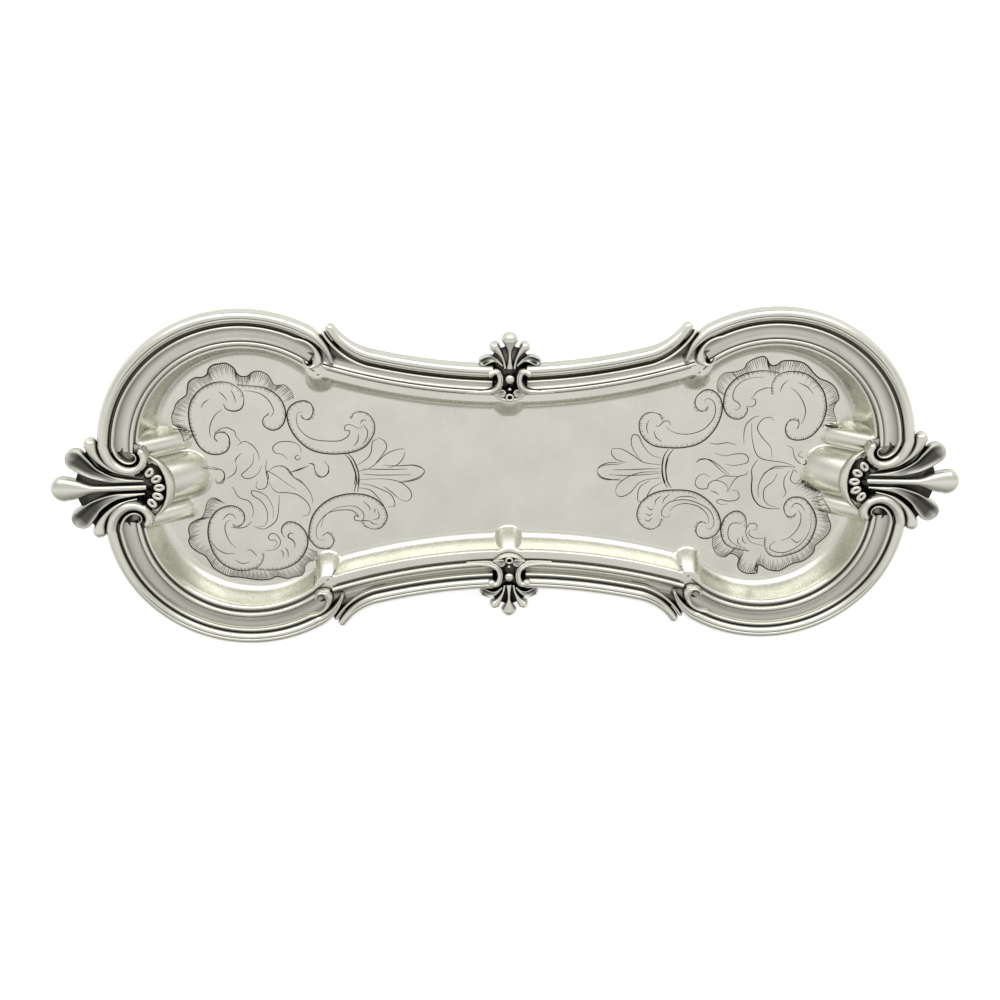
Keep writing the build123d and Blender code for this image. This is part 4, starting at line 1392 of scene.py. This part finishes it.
RIGHT_FRONT_CHASING = Chasing(
    bold=(
        (44.85, 15.25, 44.25, 17.25, 42.5, 18.6, 40.5, 18.4, 38.5, 16.75, 37.6, 14.25, 37.9, 12,
         39, 9.75, 41.5, 7.75, 44.5, 6.65, 48, 6.4, 52, 6.6, 55.5, 7.75, 58.5, 10, 61, 13, 62.25,
         16, 62.25, 18.5, 61, 20.75, 59, 21.75, 57.25, 21.75, 55.75, 20.75, 55.25, 19, 55.75,
         17.25, 57, 16.5, 58.25, 17),
        (70, 18.5, 70, 16.5, 69.25, 14.5, 67.5, 13.25, 65.5, 13.5, 63.5, 15.25, 62.6, 18, 62.75,
         20.5, 63.75, 23, 65.5, 24.5, 68, 25.4, 71.5, 26),
        (75.75, 21.5, 75.75, 24, 76.5, 26, 78, 27.5, 80.5, 27.9, 83.5, 27.25, 86.5, 26, 89, 23.5,
         90.25, 20.5, 90.75, 17, 90, 14, 88.5, 11.5, 86.5, 9.5, 84, 8.9, 82, 9.5, 80.75, 11.5, 81,
         13.5, 82, 14.85, 83.5, 15, 84.5, 14),
        (46.25, 5.75, 45, 3.5, 44.35, 0, 44.75, -3.5),
        (47.35, 5.75, 46, 3.5, 45.5, 0, 46, -3.5),
        (79.5, 12.5, 76.5, 12.5, 73.5, 11.5, 71.5, 9, 70.75, 6, 70.75, 3, 70.5, 0, 72, -2.75),
    ),
    fine=(
        (58.25, 18.1, 59, 18.85, 60, 18.25, 60.4, 16.5, 59.75, 14.25, 58.5, 12.5, 56, 10.9, 52.5,
         9.6, 49, 9.6, 46.5, 10.5, 45, 12.5, 44.85, 14, 45.75, 14.85, 47, 14.75, 47.4, 13.75),
        (58.75, 17, 58.75, 15.5, 57.75, 13.5, 55.75, 11.75, 53.5, 10.9, 51, 10.65, 48.5, 11.5,
         47.25, 13),
        (48, 9.5, 50, 8.5, 53, 8.5, 55, 9.25),
        (40, 15.5, 41, 16.1, 42.15, 15),
        (40, 13.5, 41.25, 14.25, 42.2, 13.6),
        (40.5, 11.5, 41.5, 12.5, 42.4, 12.25),
        (42.75, 11, 43, 9.5, 44.5, 8.25),
        (45, 10.5, 45.5, 9, 47, 7.75),
        (68.75, 16.5, 68.5, 17.1, 67.25, 16.9, 66, 17, 65, 18, 64.75, 20.5, 65.5, 22.5, 67.5, 24,
         70, 25),
        (68, 21.5, 67.75, 23, 68.75, 24),
        (69.25, 21, 69.25, 22.5, 70.5, 23.75),
        (75.5, 24.25, 72, 23.25, 70.5, 21.5, 70, 19.5, 70.25, 18.5, 71, 17.25, 72.5, 17.15, 73.25,
         18, 73, 19, 72, 19.25),
        (75.5, 22, 72.5, 21.75, 71, 20.5, 71.25, 19),
        (80.75, 22.75, 83, 21.75, 85, 19.5, 86, 17, 85.9, 14.5, 85, 13),
        (83, 12.5, 83.5, 11.25, 84.75, 11, 86, 11.75, 87, 13.5),
        (79, 22.75, 78.25, 23.5, 77.5, 24.5, 77.75, 25.5, 80, 26.5, 83, 26.25, 86.5, 24, 88.5, 21,
         89.25, 17.5, 88.75, 14),
        (83.5, 22, 84.5, 22.75, 85.5, 23.4, 87, 22.25),
        (80.25, 9, 81, 7.5, 80.25, 5.5, 80.25, 3, 81.5, 0.75),
        (78.5, 12, 76, 11.25, 74.5, 9, 74.75, 6, 77, 4, 78, 1.5),
        (73, 9, 72.75, 5.5, 74, 2, 76.5, 0, 80, 0),
        (85, 4.75, 83.25, 4.6, 82, 3.5, 82.25, 2, 82.75, 0.5, 84, 1.5),
        (74, 1.5, 77, -0.5, 80, -0.6, 83, -0.25),
        (58.75, 6.75, 60, 7.1, 61.5, 8),
        (64.25, 10.9, 62, 11, 60.75, 10, 62, 9.5, 64, 10, 66.5, 9.75, 67.35, 8.5, 66.5, 6.75, 65,
         6.75),
        (63.5, 7.5, 63.9, 6, 62.5, 4.25, 60, 3.5, 58.25, 4.5, 57.75, 6, 55.5, 6, 54.25, 4.5, 54.75,
         2.5, 56.5, 1.5, 58.5, 2.5),
        (64, 7, 65.25, 4, 66.75, 2.4, 69, 1.75, 69.25, 0.75),
        (60, 3.5, 62.5, 2.25, 64.5, 2.25, 66.75, 2.4),
        (54.25, -2, 55.5, -2.9, 58, -2.9, 61, -1, 64, 1.75),
        (25.6, 0.75, 26.5, 2.25, 29, 3.1, 32.5, 2.75),
        (26, -0.5, 27.75, -1.5, 32, -1.6),
        (31.1, 6.75, 31.75, 8, 33.25, 8.25, 35.5, 7, 38.5, 3.6, 44, 2.6),
        (31.1, 6.75, 31.75, 4.5, 35, 2, 39, 0.8, 44, 0.8),
        (38.5, 10, 37.75, 9.5, 37.65, 7, 38.5, 5, 41, 3.4),
        (38.5, 10, 40, 9, 41.5, 6, 44.5, 4),
    ),
    edge=(60.25, 21.5, 60.4, 24, 61.5, 26.5, 63, 27.6, 64.5, 27.75, 65.75, 26.75, 67.5, 27.25,
          68.5, 28.5, 68.25, 30.5, 69.25, 32.25, 71.5, 33.25, 74.25, 33, 73.5, 31.75, 74.5, 30.5,
          75.5, 30.75, 77.5, 32, 80.5, 32.5, 82.5, 31.5, 84.5, 30.25, 87.5, 29.4, 89.5, 28, 90.75,
          26.4, 91, 24.5, 92.5, 23, 94, 21.4, 95, 19.6, 95, 17.5, 93.75, 14.5, 93.5, 12, 92, 9.5,
          90, 6.5, 87.5, 4.5, 85, 3),
)


@dataclass
class Engraving(Casting):
    """The scrolls, flowers and shells engraved in one end of the well.

    bold, fine and hair are half widths of lines, raised is their height on the sheet, and
    spacing lies between two lines of the hatching.
    """

    slot: ClassVar[str] = "sheet_silver"

    dish: Dish
    halves: tuple[Chasing, Chasing]
    bold: float = 0.2
    fine: float = 0.13
    hair: float = 0.085
    hair_tip: float = 0.012
    raised: float = 0.03
    spacing: float = 0.36
    shell_reach: float = 3.9
    scroll_reach: float = 1.1
    shell_hub: Point = (3.0, 13.0)
    scrolls: int = 3
    batch: int = 24

    def lift(self) -> Matrix:
        """Leaves the lines on the sheet."""
        return Matrix.Identity(4)

    def line(self, run: Run, half: float, steps: int = 4) -> Strand:
        """Gives one line, which swells from a point and runs out to a point."""
        points = list(zip(run[::2], run[1::2]))
        rows = []
        for spot, point in enumerate(points):
            swell = max(math.sin(math.pi * spot / (len(points) - 1)), 0.22) ** 0.6
            rows.append(Station(*point, half * swell, self.raised))
        return Strand(spline(rows, steps), 2, blunt=False)

    def hatching(self, edge: Run, hub: Point, reach: float) -> list[Strand]:
        """Gives the short lines that run in from an edge towards its scroll.

        Args:
            edge: the edge's run of x and y.
            hub: the place that the lines point to.
            reach: how long they are, at most.
        """
        rows = self.line(edge, self.hair, 8).stations
        made, travelled = [], 0.0
        for before, row in zip(rows, rows[1:]):
            travelled += math.hypot(row.x - before.x, row.y - before.y)
            if travelled < self.spacing:
                continue
            travelled = 0.0
            angle, distance = seen_from((row.x, row.y), hub)
            long = min(reach * (0.75 + 0.25 * math.sin(1.9 * len(made))), 0.8 * distance)
            stations = tuple(
                Station(*polar((row.x, row.y), angle, long * share), half, self.raised)
                for share, half in ((0.0, self.hair), (0.4, self.hair), (1.0, self.hair_tip))
            )
            made.append(Strand(stations, 2, blunt=False))
        return made

    def strands(self, chasing: Chasing) -> list[Strand]:
        """Gives every line of one half."""
        made = [self.line(run, self.bold) for run in chasing.bold]
        made += [self.line(run, self.fine) for run in chasing.fine]
        made.append(self.line(chasing.edge, self.bold))
        hub = self.plan.lobe_x + self.shell_hub[0], self.shell_hub[1]
        made += self.hatching(chasing.edge, hub, self.shell_reach)
        for run in chasing.bold[: self.scrolls]:
            hub = sum(run[::2]) / len(run[::2]), sum(run[1::2]) / len(run[1::2])
            made += self.hatching(run, hub, self.scroll_reach)
        return made

    def shapes(self) -> bmesh.types.BMesh:
        """Lays the right-hand lines on the sheet, in batches, which is quicker."""
        shape = bmesh.new()
        for chasing, way in zip(self.halves, (1, -1)):
            strands = self.strands(chasing)
            for first in range(0, len(strands), self.batch):
                part = bmesh.new()
                for strand in strands[first : first + self.batch]:
                    skin(part, flipped(strand, (1, way)).rings())
                lines = bpy.data.meshes.new("lines")
                part.to_mesh(lines)
                part.free()
                shape.from_mesh(lines)
                bpy.data.meshes.remove(lines)
        for vert in shape.verts:
            vert.co.z += self.dish.surface(vert.co.x, vert.co.y)
        return shape


@dataclass(frozen=True)
class Studio:
    """The floor, the lamp and the camera of the picture.

    tilt, turn and roll are the camera's in degrees, away is in metres, and the shifts are
    shares of the picture's width. mirrored_white and mirrored_floor are the shares of the
    plain white that silver shows. Each stop of the surround is a place on its ramp, from
    the front to the back of the tray, and a level.
    """

    tilt: float = 20.0
    turn: float = 2.0043
    roll: float = -0.2045
    away: float = 0.380
    lens: float = 47.54
    shift: Point = (-0.0085, -0.0293)
    lamp_place: Spot = (0.0, 0.75, 0.45)
    lamp_size: Point = (1.4, 0.5)
    lamp_power: float = 2.4
    lamp_colour: Spot = (0.94, 0.965, 1.0)
    mirrored_white: float = 0.3
    mirrored_floor: float = 0.6
    floor_colour: Spot = (0.93, 0.93, 0.93)
    floor_glow: float = 0.55
    surround: ClassVar[tuple[Point, ...]] = (
        (0.0, 0.0),
        (0.14, 0.26),
        (0.25, 0.57),
        (0.33, 0.73),
        (0.45, 0.83),
        (0.55, 0.66),
        (0.66, 0.51),
        (0.78, 0.93),
        (0.90, 1.36),
        (1.0, 0.43),
    )

    def camera(self, plan: TrayPlan) -> None:
        """Sets the camera at the picture's angle."""
        lean, turn, roll = (math.radians(a) for a in (self.tilt, self.turn, self.roll))
        right = Vector((math.cos(turn), 0, math.sin(turn)))
        level = math.cos(lean)
        back = Vector((-math.sin(turn) * level, math.sin(lean), math.cos(turn) * level))
        up = back.cross(right)
        across = math.cos(roll) * right - math.sin(roll) * up
        above = math.sin(roll) * right + math.cos(roll) * up
        data = bpy.data.cameras.new("view")
        data.lens = self.lens
        data.sensor_width = 36.0
        data.shift_x, data.shift_y = self.shift
        data.clip_start = 0.01
        camera = bpy.data.objects.new("view", data)
        bpy.context.collection.objects.link(camera)
        stand = Matrix.Translation(Vector((0, 0, plan.sheet * MM)) + back * self.away)
        camera.matrix_world = stand @ Matrix((across, above, back)).transposed().to_4x4()
        bpy.context.scene.camera = camera

    def lamp(self) -> None:
        """Adds the soft lamp behind the tray, which faces it."""
        data = bpy.data.lights.new("back_soft", "AREA")
        data.shape = "RECTANGLE"
        data.size, data.size_y = self.lamp_size
        data.energy = self.lamp_power
        data.color = self.lamp_colour
        lamp = bpy.data.objects.new("back_soft", data)
        bpy.context.collection.objects.link(lamp)
        lamp.location = self.lamp_place
        lamp.rotation_euler = (-lamp.location).to_track_quat("-Z", "Y").to_euler()

    def world(self) -> None:
        """Sets a white surround that the silver reflects, darker to the front."""
        world = bpy.data.worlds.new("surround")
        bpy.context.scene.world = world
        wiring = Wiring(world)
        where = wiring.add("TexCoord").outputs["Generated"]
        split = wiring.add("SeparateXYZ", {"Vector": where})
        along = wiring.spread(split.outputs["Y"], (-1.0, 1.0, 0.0, 1.0))
        ramp = wiring.add("ValToRGB", {"Fac": along})
        stops = ramp.color_ramp.elements
        while len(stops) < len(self.surround):
            stops.new(0.5)
        for stop, (spot, level) in zip(stops, self.surround):
            stop.position = spot
            stop.color = (level, level, level, 1)
        share = wiring.white_share(self.mirrored_white)
        seen = wiring.blend(share, ramp.outputs["Color"], (1, 1, 1, 1))
        wiring.feed(wiring.nodes["Background"], {"Color": seen})

    def floor(self) -> None:
        """Lays a pale floor that shows white and keeps the tray's shadow."""
        shape = bmesh.new()
        bmesh.ops.create_grid(shape, x_segments=1, y_segments=1, size=3.0)
        bmesh.ops.translate(shape, vec=(0, 0, -0.0002), verts=shape.verts)
        made = bpy.data.materials.new("pale_floor")
        wiring = Wiring(made)
        look = {"Base Color": (*self.floor_colour, 1), "Roughness": 1.0, "Specular IOR Level": 0.0}
        matt = wiring.feed(wiring.nodes["Principled BSDF"], look)
        share = wiring.white_share(self.mirrored_floor)
        strength = wiring.maths("MULTIPLY", share, self.floor_glow)
        glow = wiring.add("Emission", {"Strength": strength})
        both = wiring.add("AddShader", {0: matt.outputs["BSDF"], 1: glow.outputs["Emission"]})
        wiring.feed(wiring.nodes["Material Output"], {"Surface": both.outputs["Shader"]})
        add_piece("floor", shape, made)

    def build(self, plan: TrayPlan) -> None:
        """Sets up the floor, the lamp, the surround and the camera."""
        self.camera(plan)
        self.world()
        self.floor()
        self.lamp()
        bpy.context.scene.view_settings.view_transform = "Standard"


def main() -> None:
    """Builds the tray and its setting, and reports each piece."""
    logging.basicConfig(level=logging.INFO)
    plan = TrayPlan()
    cast = SilverFinish("cast_silver").material()
    sheet = SilverFinish("sheet_silver", reach=0.0012, polish=0.22).material()
    ink = (0.06, 0.056, 0.046)
    line = SilverFinish("engraved_line", ink, polish=0.4, reach=0.0002).material()
    Studio().build(plan)
    dish = Dish(plan, sheet)
    dish.build()
    for side in Side:
        for scroll, kind in ((LobeScroll, "lobe"), (WaistScroll, "waist")):
            names = f"{kind}_mount_{side.label}", f"{kind}_scroll_{side.label}"
            scroll(plan, cast).place(*names, side.value)
    for label, way in (("right", 1), ("left", -1)):
        EndPalmette(plan, cast).place(f"end_mount_{label}", f"end_palmette_{label}", (way, 1))
    for label, way in (("back", 1), ("front", -1)):
        SidePalmette(plan, cast).place(f"side_mount_{label}", f"side_palmette_{label}", (1, way))
    for label, way, halves in (
        ("right", 1, (RIGHT_BACK_CHASING, RIGHT_FRONT_CHASING)),
        ("left", -1, (LEFT_BACK_CHASING, LEFT_FRONT_CHASING)),
    ):
        Engraving(plan, line, dish, halves).place(f"engraving_{label}", None, (way, 1))


if __name__ == "__main__":
    main()
